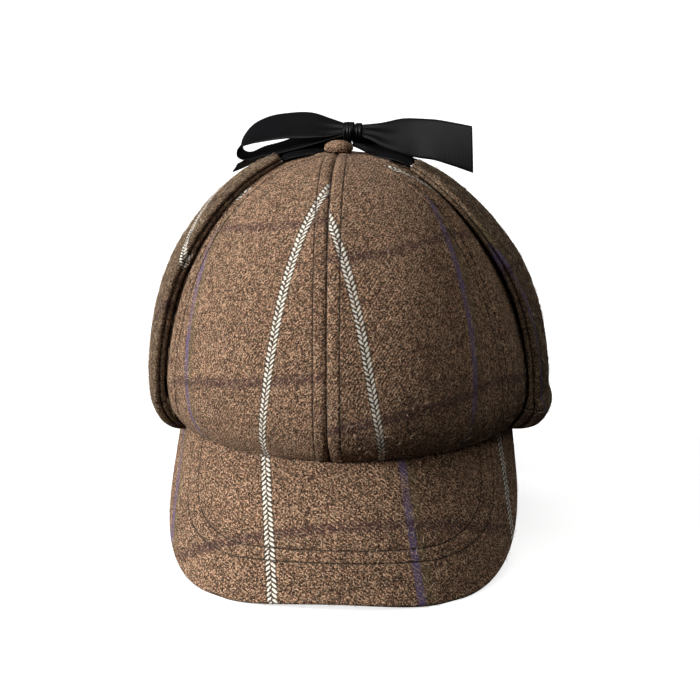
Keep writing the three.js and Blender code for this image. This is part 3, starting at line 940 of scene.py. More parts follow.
@dataclass
class Peak:
    """A stiff sloping peak with two rows of stitching, sewn under the rim."""

    name: str
    facing: float
    cut: ClothCut
    dome: Dome = field(default_factory=Dome)
    length: float = PEAK_LENGTH
    slope: float = PEAK_SLOPE
    thickness: float = 4.0
    half_angle: float = 78.0
    spread: float = 6.5
    side_edge: float = 26.0
    arch: float = 3.6
    arched: float = 0.42
    straight: float = 0.52
    corner_power: float = 1.9
    seam_gap: float = SEAM_GAP
    middle_columns: int = 64
    corner_columns: int = 64
    rows: int = 76

    def outline(self) -> tuple[np.ndarray, np.ndarray]:
        """Share of the half angle and share of the length at each column."""
        share = np.linspace(0, 1, self.middle_columns // 2 + 1)
        drop = self.length * math.sin(math.radians(self.slope))
        arch = (self.arch / drop) * (1 - share**2) ** 2
        turn = (math.pi / 2) * np.linspace(0, 1, self.corner_columns + 1)
        side = self.side_edge / self.length
        power = 2 / self.corner_power
        across = self.straight + (1 - self.straight) * np.sin(turn) ** power
        length = side + (1 - side) * np.maximum(0, np.cos(turn)) ** power
        half_across = np.concatenate([share * self.arched, across])
        half_length = np.concatenate([1 - arch, length])
        full_across = np.concatenate([-half_across[:0:-1], half_across])
        return full_across, np.concatenate([half_length[:0:-1], half_length])

    def point(self, azimuth: np.ndarray, along: np.ndarray) -> np.ndarray:
        """Place on the outer face at an azimuth and a distance down the slope."""
        forward = math.radians(self.facing)
        spread = (self.spread / self.length) * np.sin(azimuth - forward)
        level = math.cos(math.radians(self.slope))
        point = self.dome.point(azimuth, np.zeros_like(azimuth))
        point[..., 0] += along * (level * math.sin(forward) + spread * math.cos(forward))
        point[..., 1] += along * (-level * math.cos(forward) + spread * math.sin(forward))
        point[..., 2] = self.dome.rim_height - self.seam_gap - along * math.sin(math.radians(self.slope))
        return point

    def flat(self, azimuth: np.ndarray, along: np.ndarray) -> np.ndarray:
        """Place on the peak laid flat, from the middle, in millimetres."""
        fine = np.radians(np.linspace(-90, 90, 721))
        rim_x = self.dome.half_width - self.dome.rim_tuck
        rim_y = self.dome.half_depth * rim_x / self.dome.half_width
        up = math.sin(math.radians(self.slope))
        step = np.hypot(rim_x * np.cos(fine), up * rim_y * np.sin(fine)) * math.radians(0.25)
        run = np.cumsum(step) - step[0] / 2
        run -= np.interp(0.0, fine, run)
        off = azimuth - math.radians(self.facing)
        width = np.interp(off, fine, run)
        depth = along + math.cos(math.radians(self.slope)) * rim_y * np.cos(off)
        return np.stack([width, depth], axis=-1)

    def stitch_row(self, row: "StitchRow") -> np.ndarray:
        """Azimuth from the middle, in degrees, and distance down the slope, along a row."""
        half, depth, power = row.value
        turn = np.linspace(-math.pi / 2, math.pi / 2, 161)
        azimuth = half * np.sign(turn) * np.abs(np.sin(turn)) ** (2 / power)
        along = depth * np.maximum(0, np.cos(turn)) ** (2 / power)
        return np.stack([azimuth, along * self._sag(azimuth, depth)], axis=-1)

    @staticmethod
    def _sag(azimuth: np.ndarray, depth: float) -> np.ndarray:
        """How far a row follows the arched lower edge, as a factor of its depth."""
        return 1 + np.minimum(3.2, 3.2 * (azimuth / 32) ** 2) / depth

    def past_row(self, row: "StitchRow", flat: np.ndarray, azimuth: np.ndarray, along: np.ndarray) -> np.ndarray:
        """Distance of each point from a row of stitching, less than zero inside it."""
        half, depth, power = row.value
        line = self.stitch_row(row)
        laid = self.flat(np.radians(line[:, 0] + self.facing), line[:, 1])
        distance = distance_to_line(flat.reshape(-1, 2), laid).reshape(along.shape)
        off = np.degrees(azimuth) - self.facing
        level = (np.abs(off) / half) ** power + (along / self._sag(off, depth) / depth) ** power
        return distance * np.sign(level - 1)

    def build(self, material: bpy.types.Material) -> tuple[bpy.types.Object, Skin]:
        """Makes the peak.

        Args:
            material: The tweed.

        Returns:
            The piece and its outer skin.
        """
        across, length = self.outline()
        azimuth_line = math.radians(self.facing) + np.radians(across * self.half_angle)
        share = np.linspace(0, 1, self.rows + 1) ** 0.86
        share = np.concatenate([share[:-3], 1 - np.array([2.0, 1.2, 0.6, 0.2, 0.0]) / self.length])
        share = np.unique(np.round(share, 5))
        azimuth = np.repeat(azimuth_line[None], len(share), axis=0)
        along = self.length * length[None] * share[:, None]
        surface = self.point(azimuth, along)
        step = 0.01
        around = self.point(azimuth + step, along) - self.point(azimuth - step, along)
        down = self.point(azimuth, along + step) - surface
        normal = unit(np.cross(down, around))
        outwards = unit(np.stack([around[..., 1], -around[..., 0], 0 * around[..., 0]], axis=-1))
        depth = self.thickness / (outwards * normal).sum(-1)
        flat = self.flat(azimuth, along)
        free_edge = np.concatenate([flat[:, 0], flat[-1], flat[::-1, -1]])
        edge = distance_to_line(flat.reshape(-1, 2), free_edge).reshape(along.shape)
        half = self.thickness / 2
        inset = np.clip(half - edge, 0, half)
        thin = np.sqrt(np.maximum(0, half**2 - inset**2)) / half
        middle = surface - outwards * (depth / 2)[..., None]
        past = [self.past_row(row, flat, azimuth, along) for row in StitchRow]
        relief = self._relief(flat, edge, np.minimum(np.abs(past[0]), np.abs(past[1])), along)
        face = depth / 2 * thin
        outer_points = middle + outwards * (face + relief * thin)[..., None]
        inner_points = middle - outwards * face[..., None]
        cloth = self.cut.place(flat[..., 0], flat[..., 1])
        rows = {"row": past[0], "row_two": past[1]}
        # the seam distance from the top edge also paints shade along the join under the crown's edge
        outer = Skin(outer_points, cloth, {"seam": along + 0.35, **rows})
        inner = Skin(inner_points, cloth, rows)
        piece = Shell(self.name, outer, inner).build(material)
        close_up(piece)
        return piece, outer

    def _relief(self, flat: np.ndarray, edge: np.ndarray, stitch: np.ndarray, along: np.ndarray) -> np.ndarray:
        """Height of the cloth over the stiff peak."""
        row = -0.45 * bell(stitch, 0.7)
        pucker = 0.10 * ripples(flat[..., 0], (6.5, 9.0, 14.0), 61) * bell(stitch, 3.0)
        soft = 0.35 * ripples(flat[..., 0] + 0.5 * flat[..., 1], (71.0, 47.0), 62)
        return row + (pucker + soft * smooth(edge, 2.0, 12.0)) * smooth(along, 0.5, 6.0)


# Ear flaps


class FlapRow(Enum):
    """Sections of an ear flap: height, half width, gap and thickness as shares."""

    FOLD = (0.2, 1.0, 1.0, 1.0)
    LOWER = (0.3, 0.99, 1.1, 1.0)
    BELLY = (0.41, 0.97, 1.35, 1.0)
    MIDDLE = (0.52, 0.93, 1.5, 1.0)
    UPPER = (0.63, 0.88, 1.35, 1.0)
    SHOULDER = (0.73, 0.81, 1.0, 0.98)
    NECK = (0.81, 0.73, 0.75, 0.94)
    HEAD = (0.88, 0.63, 0.6, 0.9)
    BROW = (0.93, 0.53, 0.5, 0.86)
    RIDGE = (0.97, 0.42, 0.45, 0.8)
    TIP = (1.0, 0.3, 0.4, 0.74)


@dataclass
class EarFlap:
    """An ear flap of two plies, sewn to the rim and folded up along the crown."""

    name: str
    azimuth: float
    tip_drop: float
    gap: float
    bulge: float
    root_depth: float
    cut: ClothCut
    dome: Dome = field(default_factory=Dome)
    thickness: float = 6.0
    half_width: float = 42.0
    fold_height: float = 17.0
    root_gap: float = 0.5
    stitch_inset: float = 6.0
    columns: int = 56
    fold_rows: int = 22
    rows: int = 96
    lobes: tuple[float, ...] = (0.05, 0.13, 0.22, 0.31, 0.4, 0.46, 0.5, 0.54, 0.6, 0.69, 0.78, 0.87, 0.95)

    @property
    def reach(self) -> float:
        """Height of the tip above the rim."""
        return self.dome.height - self.tip_drop

    def section(self, height: np.ndarray) -> tuple[np.ndarray, np.ndarray, np.ndarray]:
        """Half width, gap and thickness at a share of the flap's height."""
        table = np.array([row.value for row in FlapRow])
        start = np.array([[self.fold_height / self.reach, *table[0, 1:]]])
        table = np.concatenate([start, table])
        place = table[:, 0]
        fine = np.linspace(place[0], place[-1], 400)
        parts = []
        for column in (1, 2, 3):
            line = np.interp(fine, place, table[:, column])
            soft = np.convolve(np.pad(line, 6, mode="edge"), np.ones(13) / 13, mode="valid")
            soft[-8:] = line[-8:]
            parts.append(np.interp(height, fine, soft))
        return parts[0], parts[1], parts[2]

    def faces(self, across: np.ndarray, height: np.ndarray) -> tuple[np.ndarray, np.ndarray, np.ndarray]:
        """Azimuth, inner and outer point above the fold."""
        width, gap, thick = self.section(height)
        rise = height * self.reach / self.dome.height
        round_ = np.power(1 - np.power(rise, self.dome.roundness), 1 / self.dome.roundness)
        azimuth = math.radians(self.azimuth) + across * width * self.half_width / (self.dome.half_depth * round_)
        surface = self.dome.point(azimuth, height * self.reach)
        normal = self.dome.normal(azimuth, height * self.reach)
        inner = surface + normal * (gap * self.gap)[..., None]
        outer = surface + normal * (gap * self.gap + thick * self.thickness)[..., None]
        return azimuth, inner, outer

    def fold(self, azimuth: np.ndarray, top: np.ndarray, share: float) -> tuple[np.ndarray, np.ndarray]:
        """Inner and outer point in the turned-up fold, at a share of the turn."""
        turn = (math.pi / 2) * share
        lift = 1 - math.cos(turn)
        height = np.full_like(azimuth, self.fold_height * lift)
        gap = self.root_gap + (self.gap - self.root_gap) * share
        inner = self.dome.point(azimuth, height) + self.dome.normal(azimuth, height) * gap
        rim = np.zeros_like(azimuth)
        outwards = unit(self.dome.normal(azimuth, rim) * np.array([1.0, 1.0, 0.0]))
        root = self.dome.point(azimuth, rim) + outwards * (2 * self.root_gap)
        root[..., 2] -= self.root_depth
        outer = root.copy()
        outer[..., :2] += (top[..., :2] - root[..., :2]) * math.sin(turn)
        outer[..., 2] += (top[..., 2] - root[..., 2]) * lift
        return inner, outer + outwards * self.bulge * math.sin(2 * turn)

    def build(self, material: bpy.types.Material) -> tuple[bpy.types.Object, Skin]:
        """Makes the flap.

        Args:
            material: The tweed.

        Returns:
            The piece and its outer skin.
        """
        line = np.linspace(-1, 1, self.columns + 1)
        line = np.sin(line * math.pi / 2) * 0.35 + line * 0.65
        start = self.fold_height / self.reach
        outer, inner = [], []
        azimuth, _, top = self.faces(line, np.full_like(line, start))
        for row in range(self.fold_rows):
            low, high = self.fold(azimuth, top, row / self.fold_rows)
            inner.append(low)
            outer.append(high)
        for height in start + (1 - start) * np.linspace(0, 1, self.rows) ** 0.9:
            _, low, high = self.faces(line, np.full_like(line, height))
            inner.append(low)
            outer.append(high)
        outer_points, inner_points = np.array(outer), np.array(inner)
        u = arc_lengths(outer_points)
        u = u - u[:, -1:] / 2
        v = arc_lengths(outer_points.transpose(1, 0, 2)).T
        v = np.repeat(v[:, self.columns // 2][:, None], v.shape[1], axis=1)
        flat = np.stack([u, v], axis=-1)
        free_edge = np.concatenate([flat[self.fold_rows :, 0], flat[-1], flat[: self.fold_rows : -1, -1]])
        edge = distance_to_line(flat.reshape(-1, 2), free_edge).reshape(u.shape)
        stitch = np.abs(edge - self.stitch_inset)
        skin = Skin(outer_points, self.cut.place(u, v), {"row": edge - self.stitch_inset})
        puff = 0.4 * smooth(edge, 0.0, 3.0) - 0.4 * bell(stitch, 0.7)
        puff += 0.14 * ripples(u + v, (8.0, 11.0, 17.0), 71) * bell(edge - 4, 4.0)
        puff += 0.5 * ripples(v, (38.0, 57.0), 72) * ripples(u, (41.0, 66.0), 73) * smooth(edge, 4.0, 16.0)
        across = skin.points - inner_points
        normal = across / np.linalg.norm(across, axis=-1, keepdims=True)
        skin.points = skin.points + normal * (puff - 0.5)[..., None]
        inner_skin = Skin(inner_points, self.cut.place(u, v), {"row": edge - self.stitch_inset})
        shell = Shell(self.name, skin, inner_skin)
        shell.rings = self._edge_rings(shell)
        # seam distances on the edge rings paint shade into the groove between the two plies
        shell.ring_seams = [abs(share - 0.5) * self.thickness * 1.4 for share in self.lobes]
        return shell.build(material), skin

    def _edge_rings(self, shell: Shell) -> list[np.ndarray]:
        """Rings of points round the edge that give each ply a rounded edge with a groove between."""
        outer, inner = shell.outer.points, shell.inner.points
        middle = (outer + inner) / 2
        inwards = np.zeros_like(middle)
        inwards[:, 0] += middle[:, 1] - middle[:, 0]
        inwards[:, -1] += middle[:, -2] - middle[:, -1]
        inwards[0] += middle[1] - middle[0]
        inwards[-1] += middle[-2] - middle[-1]
        edge = shell.border()
        outwards = -unit(inwards.reshape(-1, 3)[edge])
        first, last = outer.reshape(-1, 3)[edge], inner.reshape(-1, 3)[edge]
        thick = np.linalg.norm(first - last, axis=1, keepdims=True)
        rings = []
        for share in self.lobes:
            swell = abs(math.sin(2 * math.pi * share)) ** 0.55 * thick * 0.2
            dip = 0.9 * math.exp(-(((share - 0.5) / 0.035) ** 2))
            rings.append(first * (1 - share) + last * share + outwards * (swell - dip))
        return rings


# Ribbon


def curve_point(points: np.ndarray, share: float, even: bool) -> np.ndarray:
    """Place on a Catmull-Rom curve through points.

    Args:
        points: N by 3 places.
        share: From 0 to 1 over the whole curve.
        even: True for a uniform curve, False for a centripetal one.

    Returns:
        The place.
    """
    last = len(points) - 1
    place = last * share
    index = min(int(math.floor(place)), last - 1)
    part = place - index
    first = points[index - 1] if index > 0 else 2 * points[0] - points[1]
    after = points[index + 2] if index + 2 <= last else 2 * points[last] - points[last - 1]
    near, far = points[index], points[index + 1]
    if even:
        leave, arrive = 0.5 * (far - first), 0.5 * (after - near)
    else:
        gaps = [np.linalg.norm(b - a) ** 0.5 for a, b in ((first, near), (near, far), (far, after))]
        before, between, behind = gaps
        leave = (near - first) / before - (far - first) / (before + between) + (far - near) / between
        arrive = (far - near) / between - (after - near) / (between + behind) + (after - far) / behind
        leave, arrive = leave * between, arrive * between
    bend = -3 * near + 3 * far - 2 * leave - arrive
    turn = 2 * near - 2 * far + leave + arrive
    return near + leave * part + bend * part**2 + turn * part**3


@dataclass(frozen=True)
class Station:
    """A place along a ribbon: its middle, its lean in degrees and its share of the full width."""

    place: tuple[float, float, float]
    lean: float
    width: float


@dataclass
class Ribbon:
    """A length of ribbon through stations, gathered where it is narrow."""

    name: str
    stations: list[Station]
    held: str
    rests_on: tuple[str, ...] = ()
    cut_angle: float = 0.0
    gather_start: bool = True
    gather_end: bool = False
    tucked_in: float = 2.2
    width: float = 25.0
    thickness: float = 0.8
    step: float = 0.8
    columns: int = 16

    def skins(self) -> tuple[Skin, Skin, float]:
        """Outer and inner skin, and the ribbon's length."""
        places = np.array([station.place for station in self.stations], float)
        if self.gather_start:
            places[0] += unit(places[0] - places[1]) * self.tucked_in
        if self.gather_end:
            places[-1] += unit(places[-1] - places[-2]) * self.tucked_in
        shape = np.array([[station.lean, station.width, 0.0] for station in self.stations])
        coarse = np.array([curve_point(places, share, False) for share in np.linspace(0, 1, 200)])
        length = np.linalg.norm(np.diff(coarse, axis=0), axis=1).sum()
        count = max(24, int(length / self.step))
        outer, inner, cloth = [], [], []
        for share in np.linspace(0, 1, count + 1):
            place = curve_point(places, share, False)
            ahead = curve_point(places, min(1.0, share + 1e-4), False)
            along = unit(ahead - curve_point(places, max(0.0, share - 1e-4), False))
            lean, narrow, _ = curve_point(shape, share, True)
            side = np.array([0.0, math.cos(math.radians(lean)), math.sin(math.radians(lean))])
            side = unit(side - along * (side @ along))
            facing = unit(np.cross(along, side))
            slant = math.tan(math.radians(self.cut_angle)) * share * share
            across = np.linspace(-0.5, 0.5, self.columns + 1)
            offset = across * narrow * self.width
            middle = place + side * offset[:, None] - along * (slant * offset)[:, None]
            gather = max(0.0, 1 - narrow) * 1.15
            fold = gather * np.cos(math.tau * 2.5 * across) - 0.35 * (across * 2) ** 2 * narrow
            middle = middle + facing * (fold * 0.9)[:, None]
            edge = np.sqrt(np.maximum(0.05, 1 - np.maximum(0, np.abs(across * 2) - 0.94) ** 2 / 0.0036))
            half = self.thickness / 2 * np.where(np.abs(across) > 0.47, edge, 1.0)
            outer.append(middle + facing * half[:, None])
            inner.append(middle - facing * half[:, None])
            cloth.append(np.stack([across * self.width, np.full_like(across, share * length)], axis=-1))
        return Skin(np.array(outer), np.array(cloth)), Skin(np.array(inner), np.array(cloth)), length

    def build(self, material: bpy.types.Material) -> bpy.types.Object:
        outer, inner, length = self.skins()
        piece = Shell(self.name, outer, inner).build(material)
        fit_to_hat(piece, Slot.RIBBON, self.name)
        narrow = np.mean([station.width for station in self.stations])
        area = length * self.width * min(1.0, float(narrow) * 1.02) * METRE**2
        self.width * METRE
        return piece


@dataclass
class Bow:
    """The half bow on the crown: knot, loop, two free ends and a tie to each flap."""

    right_flap: EarFlap
    left_flap: EarFlap
    dome: Dome = field(default_factory=Dome)
    ribbon_width: float = 25.0
    ribbon_thickness: float = 0.8
    knot_length: float = 10.0
    knot_depth: float = 13.0
    knot_height: float = 8.8
    knot_side: float = 6.5
    knot_back: float = 13.5
    knot_rise: float = 9.8
    knot_gap: float = 0.8
    seam_gap: float = SEAM_GAP
    loop_reach: float = 58.5
    loop_drop: float = 15.0
    right_reach: float = 61.8
    right_drop: float = 8.0
    right_cut: float = 15.0
    left_reach: float = 62.5
    left_stand: float = 10.0
    tie_gap: float = 2.0

    @property
    def knot(self) -> np.ndarray:
        """Centre of the knot."""
        top = self.dome.rim_height + self.dome.height
        return np.array([self.dome.lean + self.knot_side, self.knot_back, top + self.knot_rise])

    @property
    def start(self) -> float:
        """Distance from the knot's centre to a ribbon's first station."""
        return self.knot_length / 2 + self.knot_gap

    def loop(self) -> Ribbon:
        """The loop to the left."""
        table = [
            (0.0, 0.08, 24, 0.4),
            (0.13, 0.1, 26, 0.75),
            (0.32, 0.17, 27, 1.0),
            (0.53, 0.15, 27, 1.0),
            (0.72, 0.04, 26, 1.0),
            (0.88, -0.18, 20, 1.0),
            (0.99, -0.52, 8, 1.0),
            (0.99, -0.78, 4, 1.0),
            (0.92, -0.87, 4, 1.0),
            (0.78, -0.71, 7, 1.0),
            (0.6, -0.56, 9, 1.0),
            (0.42, -0.36, 12, 1.0),
            (0.2, -0.14, 17, 0.78),
            (0.0, -0.04, 18, 0.42),
        ]
        stations = []
        for reach, rise, lean, width in table:
            x = self.knot[0] - (self.start + (self.loop_reach - self.start) * reach)
            stations.append(Station((x, self.knot[1], self.knot[2] + rise * self.loop_drop), lean, width))
        return Ribbon("bow_loop", stations, "folded", ("bow_knot", "ear_flap_left"), gather_end=True)

    def right_tail(self) -> Ribbon:
        """The free end to the right."""
        table = [
            (0.0, 0.0, 26, 0.4),
            (0.09, -0.06, 30, 0.62),
            (0.22, -0.2, 35, 0.86),
            (0.36, -0.28, 41, 1.0),
            (0.5, -0.42, 48, 1.0),
            (0.66, -0.54, 51, 1.0),
            (0.84, -0.84, 56, 1.0),
            (1.0, -1.15, 62, 1.0),
        ]
        stations = []
        for reach, rise, lean, width in table:
            x = self.knot[0] + self.start + (self.right_reach - self.start) * reach
            stations.append(Station((x, self.knot[1], self.knot[2] + rise * self.right_drop), lean, width))
        return Ribbon("bow_tail_right", stations, "hung", ("bow_knot",), cut_angle=self.right_cut)

    def left_tail(self) -> Ribbon:
        """The free end to the left, over the flap."""
        table = [
            (0.0, 0.72, 0.06, 6, 0.4),
            (0.14, 0.64, 0.22, 2, 0.7),
            (0.36, 0.64, 0.5, -5, 1.0),
            (0.57, 0.74, 0.66, -12, 1.0),
            (0.74, 0.92, 0.62, -13, 1.0),
            (0.88, 1.2, 0.52, -12, 1.0),
            (1.0, 1.42, 0.42, -10, 1.0),
        ]
        stations = []
        for reach, stand, back, lean, width in table:
            x = self.knot[0] - (self.start + (self.left_reach - self.start) * reach)
            y = self.knot[1] + back * self.ribbon_width
            z = self.dome.height_at(x, y) + stand * self.left_stand
            stations.append(Station((x, y, z), lean, width))
        return Ribbon("bow_tail_left", stations, "laid", ("ear_flap_left",))

    def tie(self, name: str, flap: EarFlap, direction: int) -> Ribbon:
        """The ribbon from a flap's tip to the knot."""
        _, inner, outer = flap.faces(np.array([0.0]), np.array([1.0]))
        first = (inner[0] + outer[0]) / 2
        first[0] -= direction * self.tie_gap
        last = self.knot.copy()
        last[0] += direction * self.knot_gap
        last[2] -= self.knot_height / 2 + self.seam_gap + self.ribbon_thickness
        first_stand = first[2] - self.dome.height_at(first[0], first[1])
        last_stand = last[2] - self.dome.height_at(last[0], last[1])
        table = [
            (0.0, 0.0, 0.0, 4, 0.9),
            (0.1, 0.02, 0.02, 8, 0.92),
            (0.34, 0.36, 0.0, 16, 0.9),
            (0.6, 0.8, 0.02, 24, 0.74),
            (0.8, 0.96, 0.04, 28, 0.6),
            (1.0, 1.0, 0.1, 30, 0.46),
        ]
        stations = []
        for share, back, rise, lean, width in table:
            x = first[0] + (last[0] - first[0]) * share
            y = first[1] + (last[1] - first[1]) * back
            stand = first_stand + (last_stand - first_stand) * share + rise * self.knot_rise
            stations.append(Station((x, y, self.dome.height_at(x, y) + stand), lean, width))
        return Ribbon(name, stations, "stretched", (flap.name,), gather_start=False)

    def build_knot(self, material: bpy.types.Material) -> bpy.types.Object:
        """Makes the knot: two turns of ribbon round a core, with soft creases."""
        turns, across = 72, 36
        angle = np.linspace(0, math.tau, turns, endpoint=False)
        along = np.linspace(-1, 1, across + 1)
        spread = np.sin(along * math.pi / 2)
        groove = spread[:, None] - 0.12 * np.sin(angle)[None] - 0.08
        band = 1.04 - 0.24 * bell(groove, 0.09) - 0.13 * smooth(spread[:, None], 0.0, 0.3)
        creases = 0.03 * np.cos(spread[:, None] * 19 + 1.4 * np.sin(angle)[None])
        end = np.sqrt(np.maximum(0.0, 1 - np.maximum(0, np.abs(along) - 0.86) ** 2 / 0.026))
        ring = (band + creases) * end[:, None]
        tilt = 0.5 * np.sin(angle)[None] * (1 - np.abs(along[:, None]))
        x = along[:, None] * self.knot_length / 2 * np.ones(turns)[None] + tilt
        y = ring * self.knot_depth / 2 * np.cos(angle)[None]
        hang = np.where(np.sin(angle) < 0, 1.42, 1.0)
        z = ring * self.knot_height / 2 * (np.sin(angle) * hang)[None]
        body = np.stack([x, y, z], axis=-1) + self.knot
        points = np.concatenate([body.reshape(-1, 3), [body[0].mean(0)], [body[-1].mean(0)]])
        grid = np.arange((across + 1) * turns).reshape(across + 1, turns)
        side = np.roll(grid, -1, axis=1)
        quads = np.stack([grid[:-1], grid[1:], side[1:], side[:-1]], axis=-1).reshape(-1, 4)
        first = np.stack([grid[0], side[0], np.full(turns, len(points) - 2)], axis=-1)
        last = np.stack([side[-1], grid[-1], np.full(turns, len(points) - 1)], axis=-1)
        u = np.repeat(along[:, None] * 11.0, turns, axis=1)
        v = np.repeat((angle * 5.4)[None], across + 1, axis=0)
        cloth = np.concatenate([np.stack([u, v], axis=-1).reshape(-1, 2), np.zeros((2, 2))])
        piece = make_mesh("bow_knot", points, [quads, first, last], cloth, {}, material)
        close_up(piece)
        fit_to_hat(piece, Slot.RIBBON, "bow_knot")
        return piece

    def build(self, material: bpy.types.Material) -> None:
        """Makes the bow's pieces."""
        self.build_knot(material)
        for ribbon in (
            self.loop(),
            self.right_tail(),
            self.left_tail(),
            self.tie("ribbon_tie_right", self.right_flap, 1),
            self.tie("ribbon_tie_left", self.left_flap, -1),
        ):
            ribbon.build(material)


# Button


@dataclass
class Button:
    """The cloth-covered button on the crown's top, gathered under its edge."""

    dome: Dome = field(default_factory=Dome)
    diameter: float = 15.0
    height: float = 6.0
    rim: float = 2.2
    seam_gap: float = SEAM_GAP

    def build(self, material: bpy.types.Material) -> bpy.types.Object:
        """Makes the button from a ball that is flattened and pleated."""
        bpy.ops.object.select_all(action="DESELECT")
        bpy.ops.mesh.primitive_uv_sphere_add(segments=72, ring_count=40, radius=1.0)
        piece = bpy.context.object
        piece.name = piece.data.name = "top_button"
        mesh = piece.data
        points = np.zeros(len(mesh.vertices) * 3)
        mesh.vertices.foreach_get("co", points)
        points = points.reshape(-1, 3)
        out = np.linalg.norm(points[:, :2], axis=1)
        angle = np.arctan2(points[:, 1], points[:, 0])
        rise = points[:, 2]
        radius = self.diameter / 2
        below = np.maximum(0, -rise)
        pleats = 1 + 0.02 * np.sin(angle * 14 + 0.8 * np.sin(3 * angle)) * smooth(below, 0.05, 0.8)
        height = np.where(rise > 0, self.rim + (self.height - self.rim) * rise, self.rim * (1 - below**0.8))
        spread = np.where(rise > 0, out, np.maximum(out, 0.0) ** 0.35 * (out > 0))
        wide = radius * spread * pleats * 0.985
        seat = self.dome.height_at(self.dome.lean, 0.0) + self.seam_gap
        x = wide * np.cos(angle) + self.dome.lean
        placed = np.stack([x, wide * np.sin(angle), height + seat], axis=-1)
        mesh.vertices.foreach_set("co", (placed * METRE).ravel())
        layer = mesh.uv_layers.active
        layer.name = CLOTH_MAP
        corner_points = np.zeros(len(mesh.loops), np.int32)
        mesh.loops.foreach_get("vertex_index", corner_points)
        over = np.arccos(np.clip(rise, 0, 1)) * radius * 0.8
        reach = np.where(rise > 0, over, radius * 1.26 + below * self.rim)
        cloth = np.stack([reach * np.cos(angle) + 24.0, reach * np.sin(angle) + 15.0], axis=-1)
        layer.data.foreach_set("uv", (cloth[corner_points] / CLOTH_UNIT).astype(np.float32).ravel())
        for key in FACTS:
            store = mesh.attributes.new(key, "FLOAT", "POINT")
            store.data.foreach_set("value", np.full(len(mesh.vertices), 50.0, np.float32))
        mesh.materials.append(material)
        mesh.polygons.foreach_set("use_smooth", np.ones(len(mesh.polygons), bool))
        mesh.update()
        fit_to_hat(piece, Slot.FLAP, "top_button")
        return piece


# Stitches and hairs


@dataclass
class StitchRows:
    """Short thread stitches laid along lines on the cloth."""

    name: str
    slot: Slot
    pitch: float = 3.0
    length: float = 2.3
    half_width: float = 0.24
    half_height: float = 0.16
    places: list[tuple[np.ndarray, np.ndarray, np.ndarray]] = field(default_factory=list)

    def add_line(self, points: np.ndarray, normals: np.ndarray) -> None:
        """Adds evenly spaced stitches along a line.

        Args:
            points: N by 3 places along the line.
            normals: N by 3 directions away from the cloth.
        """
        run = np.concatenate([[0], np.cumsum(np.linalg.norm(np.diff(points, axis=0), axis=1))])
        centres = np.arange(self.pitch, run[-1] - self.pitch / 2, self.pitch)
        for centre in centres:
            ends = []
            for move in (-1, 0, 1):
                ends.append(np.array([np.interp(centre + move, run, points[:, k]) for k in range(3)]))
            normal = np.array([np.interp(centre, run, normals[:, k]) for k in range(3)])
            self.places.append((ends[1], unit(ends[2] - ends[0]), unit(normal)))

    def build(self, material: bpy.types.Material) -> bpy.types.Object:
        """Makes all stitches as one piece."""
        rings = np.array([-0.62, 0.0, 0.62])
        swell = np.array([0.86, 1.0, 0.86])
        points, faces = [], []
        for place, along, normal in self.places:
            side = np.cross(along, normal)
            base = len(points)
            for ring, wide in zip(rings, swell):
                middle = place + along * ring * self.length / 2
                for s, n in ((1, 0), (0, 1), (-1, 0), (0, -1)):
                    offset = side * s * self.half_width * wide + normal * n * self.half_height * wide
                    points.append(middle + offset + normal * 0.02)
            points.append(place - along * self.length / 2 - normal * 0.12)
            points.append(place + along * self.length / 2 - normal * 0.12)
            for k in range(4):
                after = (k + 1) % 4
                faces.append((base + 12, base + after, base + k, base + k))
                for ring in (0, 4):
                    near = base + ring
                    faces.append((near + k, near + after, near + 4 + after, near + 4 + k))
                faces.append((base + 8 + k, base + 8 + after, base + 13, base + 13))
        triangles = []
        for a, b, c, d in faces:
            triangles.append((a, b, c))
            if d != c:
                triangles.append((a, c, d))
        places = np.array(points)
        piece = make_mesh(self.name, places, [np.array(triangles)], np.zeros((len(places), 2)), {}, material)
        fit_to_hat(piece, self.slot)
        return piece


